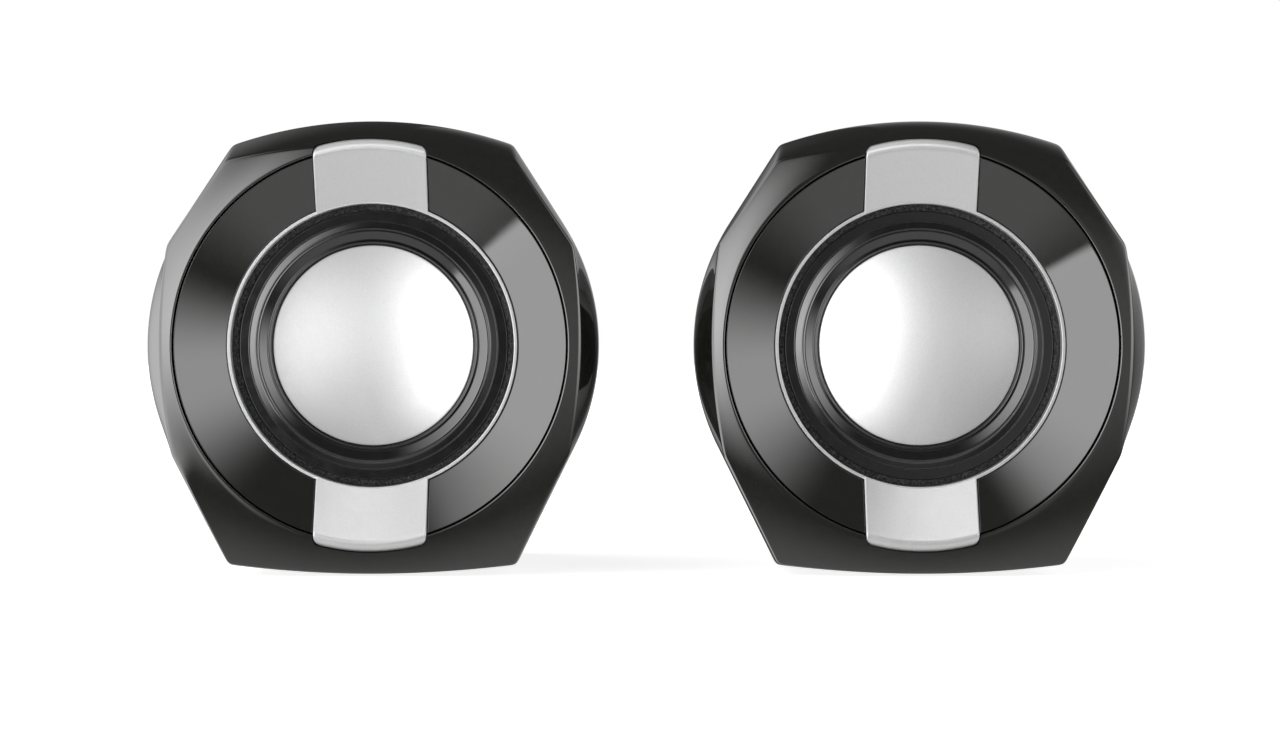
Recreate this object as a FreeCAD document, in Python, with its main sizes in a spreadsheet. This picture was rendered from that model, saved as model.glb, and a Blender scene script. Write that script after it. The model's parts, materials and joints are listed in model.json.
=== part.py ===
import FreeCAD, Part
import math
import os
import re

import Sketcher

# A pair of compact desktop loudspeakers. Millimetres. Each speaker is drawn about its driver's axis:
# X across, Y from front to back with 0 at the rim of the front dish, Z up. It is then placed so that the
# origin is on the desk top, midway between the two speakers and centred on their depth.

SIZES = {
    # the pair
    "half_spacing": 48.6,
    "axis_height": 40.75,
    "middle_depth": 37.76,
    # widest outline of the casing, seen from the front
    "wide_top_apex": 39.9,
    "wide_top_across": 24.9,
    "wide_top_up": 35.7,
    "wide_upper_across": 34.1,
    "wide_upper_up": 21.3,
    "wide_side_apex": 40.15,
    "wide_lower_across": 35.8,
    "wide_lower_down": 18.2,
    "wide_foot_across": 25.5,
    "wide_foot_down": 39.0,
    "wide_foot_apex": 40.5,
    # outline where the front face turns back into the walls
    "face_top_apex": 35.35,
    "face_top_across": 25.6,
    "face_top_up": 32.6,
    "face_upper_across": 35.9,
    "face_upper_up": 17.5,
    "face_side_apex": 36.95,
    "face_lower_across": 35.0,
    "face_lower_down": 19.3,
    "face_foot_across": 25.3,
    "face_foot_down": 38.6,
    "face_foot_apex": 40.2,
    # outline of the back wall
    "back_top_apex": 34.6,
    "back_top_across": 21.6,
    "back_top_up": 30.8,
    "back_upper_across": 31.4,
    "back_upper_up": 15.2,
    "back_side_apex": 34.9,
    "back_lower_across": 31,
    "back_lower_down": 16.2,
    "back_foot_across": 22.8,
    "back_foot_down": 38.6,
    "back_foot_apex": 39.5,
    # depths and walls of the casing
    "swell_share": 0.55,
    "swell_depth": 3,
    "widest_depth": 8,
    "seam_depth": 26,
    "seam_gap": 0.3,
    "seam_share": 0.985,
    "rear_share": 0.977,
    "waist_depth": 48,
    "waist_share": 0.3,
    "back_depth": 69,
    "wall": 2,
    "inner_share": 0.945,
    "bezel_start": 35.05,
    "bezel_reach": 52,
    "bezel_fall": 4.5,
    # dish and the opening it sits in
    "rim_radius": 34.8,
    "dish_radius": 34.5,
    "dish_inner": 25.75,
    "dish_edge_depth": 0.35,
    "dish_throat_depth": 5.55,
    "dish_skin": 0.95,
    "dish_thickness": 1.5,
    "seat_gap": 0.1,
    "baffle_thickness": 1.6,
    "baffle_reach": 36.05,
    "driver_hole": 25.85,
    "driver_seat_radius": 29.2,
    "driver_seat_depth": 8,
    # trim
    "trim_inner": 25.05,
    "trim_front": 5,
    "trim_back": 7.9,
    "tab_half_width": 9.95,
    "tab_gap": 0.15,
    "tab_end": 36.3,
    "tab_shoulder": 34.9,
    "tab_corner": 1.1,
    "tab_proud": 0.35,
    "tab_fold_depth": 2.3,
    "fold_half_width": 0.6,
    "fold_start": 0.15,
    "fold_front": 0.12,
    "fold_finish": 0.05,
    "tab_end_front": 0.7,
    "trim_edge": 0.3,
    # driver
    "gasket_inner": 24,
    "gasket_outer": 27.2,
    "gasket_front": 8.1,
    "flange_front": 8.9,
    "steel": 0.8,
    "flange_inner": 22.2,
    "flange_outer": 27.4,
    "ear_reach": 33.2,
    "ear_half_width": 3.2,
    "ear_hole_radius": 1.3,
    "ear_circle": 30.2,
    "ledge_radius": 16.6,
    "ledge_depth": 17.4,
    "throat_radius": 13.8,
    "basket_floor": 20.1,
    "basket_bore": 9,
    "window_half_width": 5.5,
    "window_overlap": 1.5,
    "spoke_width": 1,
    "surround_outer": 23.85,
    "surround_inner": 17.95,
    "surround_land_front": 8.3,
    "ridge_radius": 21.75,
    "ridge_half_width": 0.75,
    "ridge_front": 7.55,
    "roll_radius": 19.6,
    "roll_half_width": 1.05,
    "roll_front": 6.85,
    "rubber": 0.45,
    "rubber_draft": 0.3,
    "cone_edge": 18.8,
    "cone_front": 8.7,
    "paper": 0.4,
    "cone_throat": 7.25,
    "cone_throat_depth": 15,
    "dome_radius": 17.8,
    "dome_edge_depth": 7.9,
    "dome_apex_depth": 3.4,
    "dome_skin": 0.4,
    "dome_foot_depth": 8.75,
    "dome_seat": 0.2,
    "former_inner": 6.95,
    "former_outer": 7.15,
    "former_front": 14.6,
    "former_back": 25.5,
    "winding_outer": 7.6,
    "winding_front": 20.6,
    "winding_back": 24.2,
    "spider_inner": 7.25,
    "spider_outer": 16.2,
    "spider_depth": 16.9,
    "cloth": 0.35,
    "wave_height": 0.55,
    "cloth_hem": 0.6,
    "cloth_rim": 1.4,
    "plate_radius": 15.5,
    "gap_radius": 8,
    "plate_front": 21,
    "plate_thickness": 2,
    "magnet_inner": 9.5,
    "magnet_radius": 16.5,
    "magnet_thickness": 6,
    "pole_radius": 6.5,
    "glue": 0.05,
    "strip_half_width": 4.5,
    "strip_top": 21.4,
    "strip_height": 6,
    "strip_depth": 12,
    "strip_thickness": 1,
    "tag_pitch": 2.6,
    "tag_half_width": 0.8,
    "tag_length": 4.4,
    "tag_thickness": 0.4,
    # fasteners
    "boss_across": 19,
    "boss_up": 24.5,
    "boss_down": 33,
    "boss_radius": 2.8,
    "upper_boss_front": 2.9,
    "pilot_radius": 1.05,
    "pilot_depth": 12,
    "well_radius": 2.6,
    "well_wall": 1.3,
    "well_floor": 32,
    "clearance_radius": 1.3,
    "case_screw_radius": 1,
    "case_head_radius": 2.3,
    "case_head_height": 1.6,
    "case_screw_length": 16,
    "driver_screw_radius": 0.9,
    "driver_head_radius": 1.9,
    "driver_head_height": 1.2,
    "driver_screw_length": 4.4,
    "driver_boss_radius": 2.6,
    "driver_boss_length": 5.4,
    "cross_half_width": 0.35,
    "cross_reach": 1.2,
    "cross_depth": 0.7,
    # feet
    "foot_across": 12,
    "front_foot_depth": 20.5,
    "rear_foot_depth": 54,
    "foot_radius": 4,
    "foot_recess_up": 38.8,
    "foot_thickness": 1.9,
    # cable bush
    "bush_down": 27,
    "bush_shift": 7,
    "bush_bore": 1.6,
    "bush_neck": 2.6,
    "bush_flange": 4,
    "bush_flange_thickness": 1.2,
    "bush_tail_radius": 2.4,
    "bush_tail_length": 5.4,
    "bush_collar": 3.5,
    "bush_collar_thickness": 1,
    "bush_rib": 0.4,
    "bush_taper": 0.08,
    # amplifier board
    "board_half_width": 15,
    "board_front": 35,
    "board_back": 61,
    "board_down": 24,
    "board_thickness": 1.6,
    "board_post_across": 12,
    "board_post_front": 38,
    "board_post_back": 58,
    "board_post_radius": 2.4,
    "board_hole_radius": 1.2,
    "board_screw_radius": 1,
    "board_head_radius": 1.9,
    "board_head_height": 1.3,
    "chip_half_width": 5,
    "chip_front": 45,
    "chip_back": 51,
    "chip_height": 2.4,
    "cooler_half_width": 7,
    "cooler_overhang": 1,
    "cooler_thickness": 1.2,
    "fin_pitch": 3.2,
    "fin_height": 5,
    "small_can_across": 10.5,
    "small_can_front": 44.5,
    "small_can_back": 50.5,
    "small_can_radius": 2.5,
    "large_can_across": 11,
    "large_can_depth": 47.5,
    "large_can_radius": 3.2,
    "can_height": 9,
    "socket_half_width": 4,
    "socket_front": 36,
    "socket_back": 40,
    "socket_height": 5,
    # leads
    "lead_radius": 0.6,
    "lead_spread": 0.8,
    "lead_bend": 3,
    "lead_rise_depth": 24,
    "lead_rise_down": 30,
    "tag_overlap": 2,
    "tag_drop": 6,
    "collar_clearance": 1,
    "socket_reach": 3,
}

CLOTH_WAVES = 4
BUSH_RIBS = 6
COOLER_FINS = 5

doc = FreeCAD.newDocument("desktop_speakers")
sheet = doc.addObject("Spreadsheet::Sheet", "Sizes")
for row, (alias, value) in enumerate(SIZES.items(), start=1):
    sheet.set(f"A{row}", str(value))
    sheet.setAlias(f"A{row}", alias)
doc.recompute()

subparts = []


def full(expression):
    """Write each alias in an expression with the sheet's name before it."""
    return re.sub("[a-z_]+", lambda word: f"Sizes.{word[0]}" if word[0] in SIZES else word[0], expression)


def number(expression):
    """The present value of an expression of sheet aliases."""
    return float(sheet.evalExpression(full(expression)))


def new_body(label, centre):
    """A body placed at one speaker's driver axis; centre is an expression for the axis's X."""
    body = doc.addObject("PartDesign::Body", label)
    body.Label = label
    body.setExpression("Placement.Base.x", full(centre))
    body.setExpression("Placement.Base.y", full("-( middle_depth )"))
    body.setExpression("Placement.Base.z", full("axis_height"))
    subparts.append(body)
    return body


def new_sketch(body, name, role, depth="0"):
    """A sketch on an origin plane, set back by depth. XY_Plane holds (radius, depth), XZ_Plane (x, z)."""
    plane = [item for item in body.Origin.OriginFeatures if item.Role == role][0]
    sketch = body.newObject("Sketcher::SketchObject", name)
    sketch.AttachmentSupport = [(plane, "")]
    sketch.MapMode = "FlatFace"
    if depth != "0":
        sketch.setExpression("AttachmentOffset.Base.z", full(f"-( {depth} )"))
    return sketch


def hold_point(sketch, geometry, point, across, up):
    """Tie one point of the sketch to two expressions."""
    for kind, expression in (("DistanceX", across), ("DistanceY", up)):
        row = sketch.addConstraint(Sketcher.Constraint(kind, -1, 1, geometry, point, number(expression)))
        sketch.setExpression(f"Constraints[{row}]", full(expression))


def end_near(sketch, geometry, target):
    """Which end of an edge lies at the target point: 1 for its start, 2 for its end."""
    gaps = {point: sketch.getPoint(geometry, point).distanceToPoint(target) for point in (1, 2)}
    return min(gaps, key=gaps.get)


def draw_outline(sketch, corners):
    """Close an outline of corners (across, up), with (via_across, via_up) added where an arc leaves."""
    places = [FreeCAD.Vector(number(corner[0]), number(corner[1]), 0) for corner in corners]
    edges = []
    for index, corner in enumerate(corners):
        start = places[index]
        finish = places[(index + 1) % len(corners)]
        if len(corner) == 2:
            edges.append(sketch.addGeometry(Part.LineSegment(start, finish), False))
            continue
        via = FreeCAD.Vector(number(corner[2]), number(corner[3]), 0)
        edge = sketch.addGeometry(Part.Arc(start, via, finish), False)
        edges.append(edge)
        knot = sketch.addGeometry(Part.Point(via), True)
        hold_point(sketch, knot, 1, corner[2], corner[3])
        sketch.addConstraint(Sketcher.Constraint("PointOnObject", knot, 1, edge))
    for index, corner in enumerate(corners):
        leaving = edges[index]
        leaving_end = end_near(sketch, leaving, places[index])
        arriving = edges[index - 1]
        arriving_end = end_near(sketch, arriving, places[index])
        join = Sketcher.Constraint("Coincident", arriving, arriving_end, leaving, leaving_end)
        sketch.addConstraint(join)
        hold_point(sketch, leaving, leaving_end, corner[0], corner[1])


def draw_circle(sketch, across, up, radius):
    """A circle whose centre and radius follow the sheet."""
    centre = FreeCAD.Vector(number(across), number(up), 0)
    circle = sketch.addGeometry(Part.Circle(centre, FreeCAD.Vector(0, 0, 1), number(radius)), False)
    hold_point(sketch, circle, 3, across, up)
    row = sketch.addConstraint(Sketcher.Constraint("Radius", circle, number(radius)))
    sketch.setExpression(f"Constraints[{row}]", full(radius))


def turn(body, name, corners, kind="PartDesign::Revolution"):
    """Turn a (radius, depth) outline about the driver's axis, to add or, as a groove, to cut."""
    sketch = new_sketch(body, f"{name}_outline", "XY_Plane")
    draw_outline(sketch, corners)
    feature = body.newObject(kind, name)
    feature.Profile = sketch
    feature.ReferenceAxis = (sketch, ["V_Axis"])
    feature.Angle = 360
    return feature


def raise_from(body, name, depth, length, draw, forward=False, kind="PartDesign::Pad"):
    """Pad or pocket what draw() puts on a plane at depth, by length, towards the back or the front."""
    sketch = new_sketch(body, f"{name}_outline", "XZ_Plane", depth)
    draw(sketch)
    feature = body.newObject(kind, name)
    feature.Profile = sketch
    feature.setExpression("Length", full(length))
    towards_front = kind == "PartDesign::Pad"
    feature.Reversed = forward != towards_front
    return feature


def loft(body, name, sections, kind="PartDesign::AdditiveLoft"):
    """Loft through (depth, corners) sections, front to back."""
    sketches = []
    for index, (depth, corners) in enumerate(sections):
        sketch = new_sketch(body, f"{name}_section_{index}", "XZ_Plane", depth)
        draw_outline(sketch, corners)
        sketches.append(sketch)
    feature = body.newObject(kind, name)
    feature.Profile = sketches[0]
    feature.Sections = sketches[1:]
    return feature


def cut_upwards(body, name, circles, start, finish):
    """Pocket circles (x, depth, radius) into the underside, from start to finish below the axis."""
    plane = [item for item in body.Origin.OriginFeatures if item.Role == "XY_Plane"][0]
    sketch = body.newObject("Sketcher::SketchObject", f"{name}_outline")
    sketch.AttachmentSupport = [(plane, "")]
    sketch.MapMode = "FlatFace"
    sketch.setExpression("AttachmentOffset.Base.z", full(f"-( {start} )"))
    for across, depth, radius in circles:
        draw_circle(sketch, across, depth, radius)
    feature = body.newObject("PartDesign::Pocket", name)
    feature.Profile = sketch
    feature.setExpression("Length", full(f"{start} - {finish}"))
    feature.Reversed = True
    return feature


def casing_outline(name):
    """The measures of one casing outline: bowed top, bottom and sides joined by four slanted edges."""
    measures = ("top_apex", "top_across", "top_up", "upper_across", "upper_up", "side_apex",
                "lower_across", "lower_down", "foot_across", "foot_down", "foot_apex")
    return [f"{name}_{measure}" for measure in measures]


def mixed(first, second, share):
    """Measures part of the way from one outline to another."""
    return [f"( {one} ) * ( 1 - {share} ) + ( {two} ) * {share}" for one, two in zip(first, second)]


def shrunk(measures, share):
    """The measures of an outline, all made smaller by the same share."""
    return [f"( {measure} ) * {share}" for measure in measures]


def outline_corners(measures):
    """Turn the eleven measures of an outline into its corners, clockwise from the upper left."""
    top, top_across, top_up, upper, upper_up, side, lower, lower_down, foot, foot_down, bottom = measures
    return [
        (f"-( {top_across} )", top_up, "0", top),
        (top_across, top_up),
        (upper, upper_up, side, "0"),
        (lower, f"-( {lower_down} )"),
        (foot, f"-( {foot_down} )", "0", f"-( {bottom} )"),
        (f"-( {foot} )", f"-( {foot_down} )"),
        (f"-( {lower} )", f"-( {lower_down} )", f"-( {side} )", "0"),
        (f"-( {upper} )", upper_up),
    ]


def tab_outline(extra):
    """The upright strip of the trim, with rounded ends, grown all round by extra."""
    half = f"( tab_half_width + {extra} )"
    end = f"( tab_end + {extra} )"
    inset = f"( tab_half_width + {extra} - tab_corner )"
    shoulder = f"( sqrt( {end} ^ 2 - {half} ^ 2 ) - tab_corner )"
    arc_end = f"( sqrt( {end} ^ 2 - {inset} ^ 2 ) )"
    bend_across = f"( {half} - 0.25 * tab_corner )"
    bend_up = f"( {shoulder} + 0.85 * tab_corner )"
    return [
        (f"-{half}", shoulder, f"-{bend_across}", bend_up),
        (f"-{inset}", arc_end, "0", end),
        (inset, arc_end, bend_across, bend_up),
        (half, shoulder),
        (half, f"-{shoulder}", bend_across, f"-{bend_up}"),
        (inset, f"-{arc_end}", "0", f"-{end}"),
        (f"-{inset}", f"-{arc_end}", f"-{bend_across}", f"-{bend_up}"),
        (f"-{half}", f"-{shoulder}"),
    ]


def rectangle(left, low, right, high):
    """Four corners of an upright rectangle."""
    return [(left, low), (right, low), (right, high), (left, high)]


def both_sides(alias):
    """A measure to the right and the same measure to the left."""
    return (alias, f"-( {alias} )")


def upper_boss_places():
    """Where the two upper case screws run, as (x, z)."""
    return [(across, "boss_up") for across in both_sides("boss_across")]


def lower_boss_places():
    """Where the two lower case screws run, as (x, z)."""
    return [(across, "-( boss_down )") for across in both_sides("boss_across")]


def boss_places():
    """Where all four case screws run, as (x, z)."""
    return upper_boss_places() + lower_boss_places()


def ear_places():
    """Where the four driver screws run, as (x, z): straight above, below, left and right."""
    return [("ear_circle", "0"), ("-( ear_circle )", "0"), ("0", "ear_circle"), ("0", "-( ear_circle )")]


def circles_at(places, radius):
    """A drawing of equal circles."""
    def draw(sketch):
        for across, up in places:
            draw_circle(sketch, across, up, radius)
    return draw


def outlines(*shapes):
    """A drawing of closed outlines."""
    def draw(sketch):
        for shape in shapes:
            draw_outline(sketch, shape)
    return draw


def front_shell(side, centre):
    """Glossy front casing: bowed walls, sloping bezel, sunk baffle, screw bosses and foot recesses."""
    body = new_body(f"{side}_front_shell", centre)
    face = casing_outline("face")
    wide = casing_outline("wide")
    swell = mixed(face, wide, "swell_share")
    seam = shrunk(wide, "seam_share")
    loft(body, "walls", [("0", outline_corners(face)), ("swell_depth", outline_corners(swell)),
                         ("widest_depth", outline_corners(wide))])
    loft(body, "skirt", [("widest_depth", outline_corners(wide)), ("seam_depth", outline_corners(seam))])
    inner_face, inner_swell, inner_wide, inner_seam = [
        shrunk(measures, "inner_share") for measures in (face, swell, wide, seam)]
    loft(body, "hollow", [("wall", outline_corners(inner_face)),
                          ("swell_depth + 0.5 * wall", outline_corners(inner_swell)),
                          ("widest_depth", outline_corners(inner_wide))], "PartDesign::SubtractiveLoft")
    loft(body, "skirt_hollow", [("widest_depth", outline_corners(inner_wide)),
                                ("seam_depth", outline_corners(inner_seam))], "PartDesign::SubtractiveLoft")
    seat_edge = "( dish_edge_depth + dish_thickness + seat_gap )"
    seat_throat = "( dish_throat_depth + dish_thickness + seat_gap )"
    turn(body, "baffle", [
        ("rim_radius", seat_edge), ("driver_hole", seat_throat), ("driver_hole", "driver_seat_depth"),
        ("driver_seat_radius", "driver_seat_depth"),
        ("driver_seat_radius", f"{seat_throat} - seat_gap"),
        ("baffle_reach", f"{seat_edge} + 0.8 * baffle_thickness"), ("baffle_reach", seat_edge)])
    raise_from(body, "upper_bosses", "seam_depth", "seam_depth - upper_boss_front",
               circles_at(upper_boss_places(), "boss_radius"), True)
    raise_from(body, "lower_bosses", "seam_depth", "seam_depth - 0.95 * wall",
               circles_at(lower_boss_places(), "boss_radius"), True)
    raise_from(body, "driver_bosses", "flange_front - glue", "driver_boss_length",
               circles_at(ear_places(), "driver_boss_radius"), True)
    turn(body, "opening", [
        ("0", "-2"), ("rim_radius", "-2"), ("rim_radius", seat_edge), ("driver_hole", seat_throat),
        ("driver_hole", "seam_depth"), ("0", "seam_depth")], "PartDesign::Groove")
    turn(body, "bezel", [
        ("bezel_start", "0"), ("bezel_reach", "bezel_fall"), ("bezel_reach", "-2"), ("bezel_start", "-2")],
        "PartDesign::Groove")
    raise_from(body, "pilot_holes", "seam_depth", "pilot_depth", circles_at(boss_places(), "pilot_radius"),
               True, "PartDesign::Pocket")
    raise_from(body, "driver_pilots", "flange_front - glue", "driver_screw_length - steel",
               circles_at(ear_places(), "driver_screw_radius + glue"), True, "PartDesign::Pocket")
    raise_from(body, "tab_notch", "-2", "tab_fold_depth + seat_gap + 2", outlines(tab_outline("tab_gap")),
               kind="PartDesign::Pocket")
    recesses = [(across, "front_foot_depth", "foot_radius + 0.1") for across in both_sides("foot_across")]
    cut_upwards(body, "foot_recesses", recesses, "wide_foot_apex + 2", "foot_recess_up")


def rear_shell(side, centre, bush_places, board):
    """Matte rear casing, drawn in towards the back, with screw wells, foot recesses and cable holes."""
    body = new_body(f"{side}_rear_shell", centre)
    seam = shrunk(casing_outline("wide"), "rear_share")
    back = casing_outline("back")
    waist = mixed(seam, back, "waist_share")
    start = "( seam_depth + seam_gap )"
    loft(body, "walls", [(start, outline_corners(seam)), ("waist_depth", outline_corners(waist)),
                         ("back_depth", outline_corners(back))])
    inner = [outline_corners(shrunk(measures, "inner_share")) for measures in (seam, waist, back)]
    loft(body, "hollow",
         [(start, inner[0]), ("waist_depth", inner[1]), ("back_depth - wall", inner[2])],
         "PartDesign::SubtractiveLoft")
    raise_from(body, "well_tubes", "back_depth", f"back_depth - {start}",
               circles_at(boss_places(), "well_radius + well_wall"), True)
    raise_from(body, "wells", "back_depth", "back_depth - well_floor",
               circles_at(boss_places(), "well_radius"), True, "PartDesign::Pocket")
    raise_from(body, "screw_holes", "well_floor", "well_floor - seam_depth",
               circles_at(boss_places(), "clearance_radius"), True, "PartDesign::Pocket")
    raise_from(body, "cable_holes", "back_depth", "2 * wall", circles_at(bush_places, "bush_neck + glue"),
               True, "PartDesign::Pocket")
    recesses = [(across, "rear_foot_depth", "foot_radius + 0.1") for across in both_sides("foot_across")]
    cut_upwards(body, "foot_recesses", recesses, "wide_foot_apex + 2", "foot_recess_up")
    if board:
        posts = [(across, depth, "board_post_radius") for across, depth in board_post_places()]
        flat_pad(body, "board_posts", "board_down + board_thickness + glue",
                 "foot_recess_up - 0.4 * wall - board_down - board_thickness", posts, downward=True)


def board_post_places():
    """Where the amplifier board is held, as (x, depth)."""
    return [(across, depth) for across in both_sides("board_post_across")
            for depth in ("board_post_front", "board_post_back")]


def dish(side, centre):
    """Glossy conical ring round the driver, with a shallow bed for the trim's tabs."""
    body = new_body(f"{side}_dish", centre)
    turn(body, "skin", [
        ("dish_radius", "dish_edge_depth"), ("dish_inner", "dish_throat_depth"),
        ("dish_inner", "dish_throat_depth + dish_skin"), ("dish_radius", "dish_edge_depth + dish_skin")])
    raise_from(body, "tab_bed", "-( wall )", "dish_throat_depth + 3 * wall",
               outlines(tab_outline("tab_gap")), kind="PartDesign::Pocket")
    turn(body, "base", [
        ("dish_radius", "dish_edge_depth + dish_skin"), ("dish_inner", "dish_throat_depth + dish_skin"),
        ("dish_inner", "dish_throat_depth + dish_thickness"),
        ("dish_radius", "dish_edge_depth + dish_thickness")])


def trim(side, centre):
    """Silver ring round the driver with a tab above and a tab below that fold over the dish's rim."""
    body = new_body(f"{side}_trim", centre)
    bed = "( dish_skin - glue )"
    turn(body, "tab_band", [
        ("trim_inner", "trim_front + trim_edge"),
        ("dish_inner", "dish_throat_depth - tab_proud"),
        ("tab_shoulder - fold_half_width", "fold_start", "tab_shoulder", "-( fold_front )"),
        ("tab_shoulder + fold_half_width", "fold_finish"),
        ("tab_end", "tab_end_front"),
        ("tab_end", "tab_fold_depth"),
        ("rim_radius + seat_gap", "tab_fold_depth"),
        ("rim_radius + seat_gap", f"dish_edge_depth + {bed} - trim_edge"),
        ("dish_inner", f"dish_throat_depth + {bed}"),
        ("trim_inner", "trim_back - 1")])
    surround_plate = rectangle("-50", "-50", "50", "50")
    raise_from(body, "tab_sides", "-5", "30", outlines(surround_plate, tab_outline("0")),
               kind="PartDesign::Pocket")
    turn(body, "ring", [
        ("trim_inner", "trim_front + trim_edge",
         "trim_inner + 0.3 * trim_edge", "trim_front + 0.3 * trim_edge"),
        ("trim_inner + trim_edge", "trim_front"),
        ("dish_inner - trim_edge", "trim_front",
         "dish_inner - 0.4 * trim_edge", "trim_front + 0.3 * trim_edge"),
        ("dish_inner - glue", "trim_front + trim_edge"),
        ("dish_inner - glue", "trim_back"), ("trim_inner", "trim_back")])


def gasket(side, centre):
    """Foam ring that seals the driver's flange against the baffle."""
    body = new_body(f"{side}_gasket", centre)
    back = "flange_front - glue"
    turn(body, "ring", [("gasket_inner", "gasket_front"), ("gasket_outer", "gasket_front"),
                        ("gasket_outer", back), ("gasket_inner", back)])


def basket(side, centre):
    """Pressed steel driver frame: flange with four ears, windowed cone and a ledge for the spider."""
    body = new_body(f"{side}_basket", centre)
    turn(body, "frame", [
        ("flange_inner", "flange_front"), ("flange_outer", "flange_front"),
        ("flange_outer", "flange_front + steel"), ("flange_inner + spoke_width", "flange_front + steel"),
        ("ledge_radius + steel", "ledge_depth + steel"), ("throat_radius + steel", "ledge_depth + steel"),
        ("throat_radius + steel", "basket_floor + steel"), ("basket_bore", "basket_floor + steel"),
        ("basket_bore", "basket_floor"), ("throat_radius", "basket_floor"),
        ("throat_radius", "ledge_depth"), ("ledge_radius", "ledge_depth"),
        ("flange_inner", "flange_front + steel")])
    inner = "flange_outer - 1"
    ears = [
        rectangle(inner, "-( ear_half_width )", "ear_reach", "ear_half_width"),
        rectangle("-( ear_reach )", "-( ear_half_width )", f"-( {inner} )", "ear_half_width"),
        rectangle("-( ear_half_width )", inner, "ear_half_width", "ear_reach"),
        rectangle("-( ear_half_width )", "-( ear_reach )", "ear_half_width", f"-( {inner} )"),
    ]
    raise_from(body, "ears", "flange_front", "steel", outlines(*ears))
    raise_from(body, "ear_holes", "flange_front - steel", "3 * steel",
               circles_at(ear_places(), "ear_hole_radius"), kind="PartDesign::Pocket")
    opening = rectangle("-( window_half_width )", "ledge_radius - window_overlap",
                        "window_half_width", "flange_outer")
    window = raise_from(body, "window", "flange_front + 2 * steel",
                        "ledge_depth - flange_front - 3 * steel",
                        outlines(opening), kind="PartDesign::Pocket")
    doc.recompute()
    windows = body.newObject("PartDesign::PolarPattern", "windows")
    windows.Originals = [window]
    windows.Axis = ([item for item in body.Origin.OriginFeatures if item.Role == "Y_Axis"][0], [""])
    windows.Angle = 360
    windows.Occurrences = 6
    body.Tip = windows


def surround(side, centre):
    """Rubber suspension ring: flat land, low outer ridge, tall inner roll and a narrow inner land."""
    body = new_body(f"{side}_surround", centre)
    outer_back = "flange_front - glue"
    inner_back = "cone_front - glue"
    valley = "surround_land_front"
    turn(body, "ring", [
        ("surround_inner", f"{inner_back} - rubber"),
        ("roll_radius - roll_half_width", f"{inner_back} - rubber", "roll_radius", "roll_front"),
        ("roll_radius + roll_half_width", valley),
        ("ridge_radius - ridge_half_width", valley, "ridge_radius", "ridge_front"),
        ("ridge_radius + ridge_half_width", valley),
        ("surround_outer", valley),
        ("surround_outer", outer_back),
        ("ridge_radius + ridge_half_width - rubber_draft", outer_back,
         "ridge_radius", "ridge_front + rubber"),
        ("ridge_radius - ridge_half_width + rubber_draft", f"{valley} + rubber"),
        ("roll_radius + roll_half_width - rubber_draft", f"{valley} + rubber",
         "roll_radius", "roll_front + rubber"),
        ("roll_radius - roll_half_width + rubber_draft", inner_back),
        ("surround_inner", inner_back)])


def cone(side, centre):
    """Black paper cone, with a flat lip under the suspension ring."""
    body = new_body(f"{side}_cone", centre)
    turn(body, "paper", [
        ("cone_edge", "cone_front"), ("cone_edge", "cone_front + paper"),
        ("dome_radius + dome_seat", "cone_front + paper"), ("cone_throat", "cone_throat_depth + paper"),
        ("cone_throat", "cone_throat_depth"), ("dome_radius + dome_seat", "cone_front")])


def dust_cap(side, centre):
    """Large silver dome that covers the cone."""
    body = new_body(f"{side}_dust_cap", centre)
    half = "( dome_radius * 0.5 )"
    rise = "( dome_edge_depth - dome_apex_depth )"
    bow = f"( ( dome_radius ^ 2 + {rise} ^ 2 ) / ( 2 * {rise} ) )"
    via = f"( dome_apex_depth + {bow} - sqrt( {bow} ^ 2 - {half} ^ 2 ) )"
    foot = "dome_foot_depth"
    turn(body, "dome", [
        ("dome_radius", "dome_edge_depth", half, via),
        ("0", "dome_apex_depth"),
        ("0", "dome_apex_depth + dome_skin", half, f"{via} + dome_skin"),
        ("dome_radius - dome_skin", "dome_edge_depth + 0.8 * dome_skin"),
        ("dome_radius - dome_skin", foot), ("dome_radius", foot)])


def voice_coil(side, centre):
    """Paper former and the copper winding on it."""
    former = new_body(f"{side}_coil_former", centre)
    turn(former, "tube", [("former_inner", "former_front"), ("former_outer", "former_front"),
                          ("former_outer", "former_back"), ("former_inner", "former_back")])
    winding = new_body(f"{side}_coil_winding", centre)
    turn(winding, "turns", [("former_outer + glue", "winding_front"), ("winding_outer", "winding_front"),
                            ("winding_outer", "winding_back"), ("former_outer + glue", "winding_back")])


def spider(side, centre):
    """Corrugated cloth disc that centres the coil."""
    body = new_body(f"{side}_spider", centre)
    land = "( ledge_depth - glue )"
    half_wave = f"( ( spider_outer - spider_inner - cloth_rim - 1.6 * cloth_hem ) / {2 * CLOTH_WAVES} )"
    front = [("spider_inner", "spider_depth - cloth")]
    back = [("spider_inner", "spider_depth")]
    for index in range(CLOTH_WAVES):
        start = f"( spider_inner + cloth_hem + {2 * index} * {half_wave} )"
        crest = f"( spider_inner + cloth_hem + {2 * index + 1} * {half_wave} )"
        front.append((start, "spider_depth - cloth", crest, "spider_depth - cloth - wave_height"))
        back.append((start, "spider_depth", crest, "spider_depth - wave_height"))
    end = f"( spider_inner + cloth_hem + {2 * CLOTH_WAVES} * {half_wave} )"
    front.append((end, "spider_depth - cloth"))
    back.append((end, "spider_depth"))
    rim_front = [("spider_outer - cloth_rim", f"{land} - cloth"), ("spider_outer", f"{land} - cloth")]
    rim_back = [("spider_outer", land), ("spider_outer - cloth_rim", land)]
    turn(body, "cloth", front + rim_front + rim_back + reversed_path(back))


def reversed_path(path):
    """The same path walked backwards, each arc now leaving from its other end."""
    turned = []
    for index in range(len(path) - 1, -1, -1):
        before = path[index - 1] if index else ()
        turned.append(path[index][:2] + before[2:])
    return turned


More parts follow.
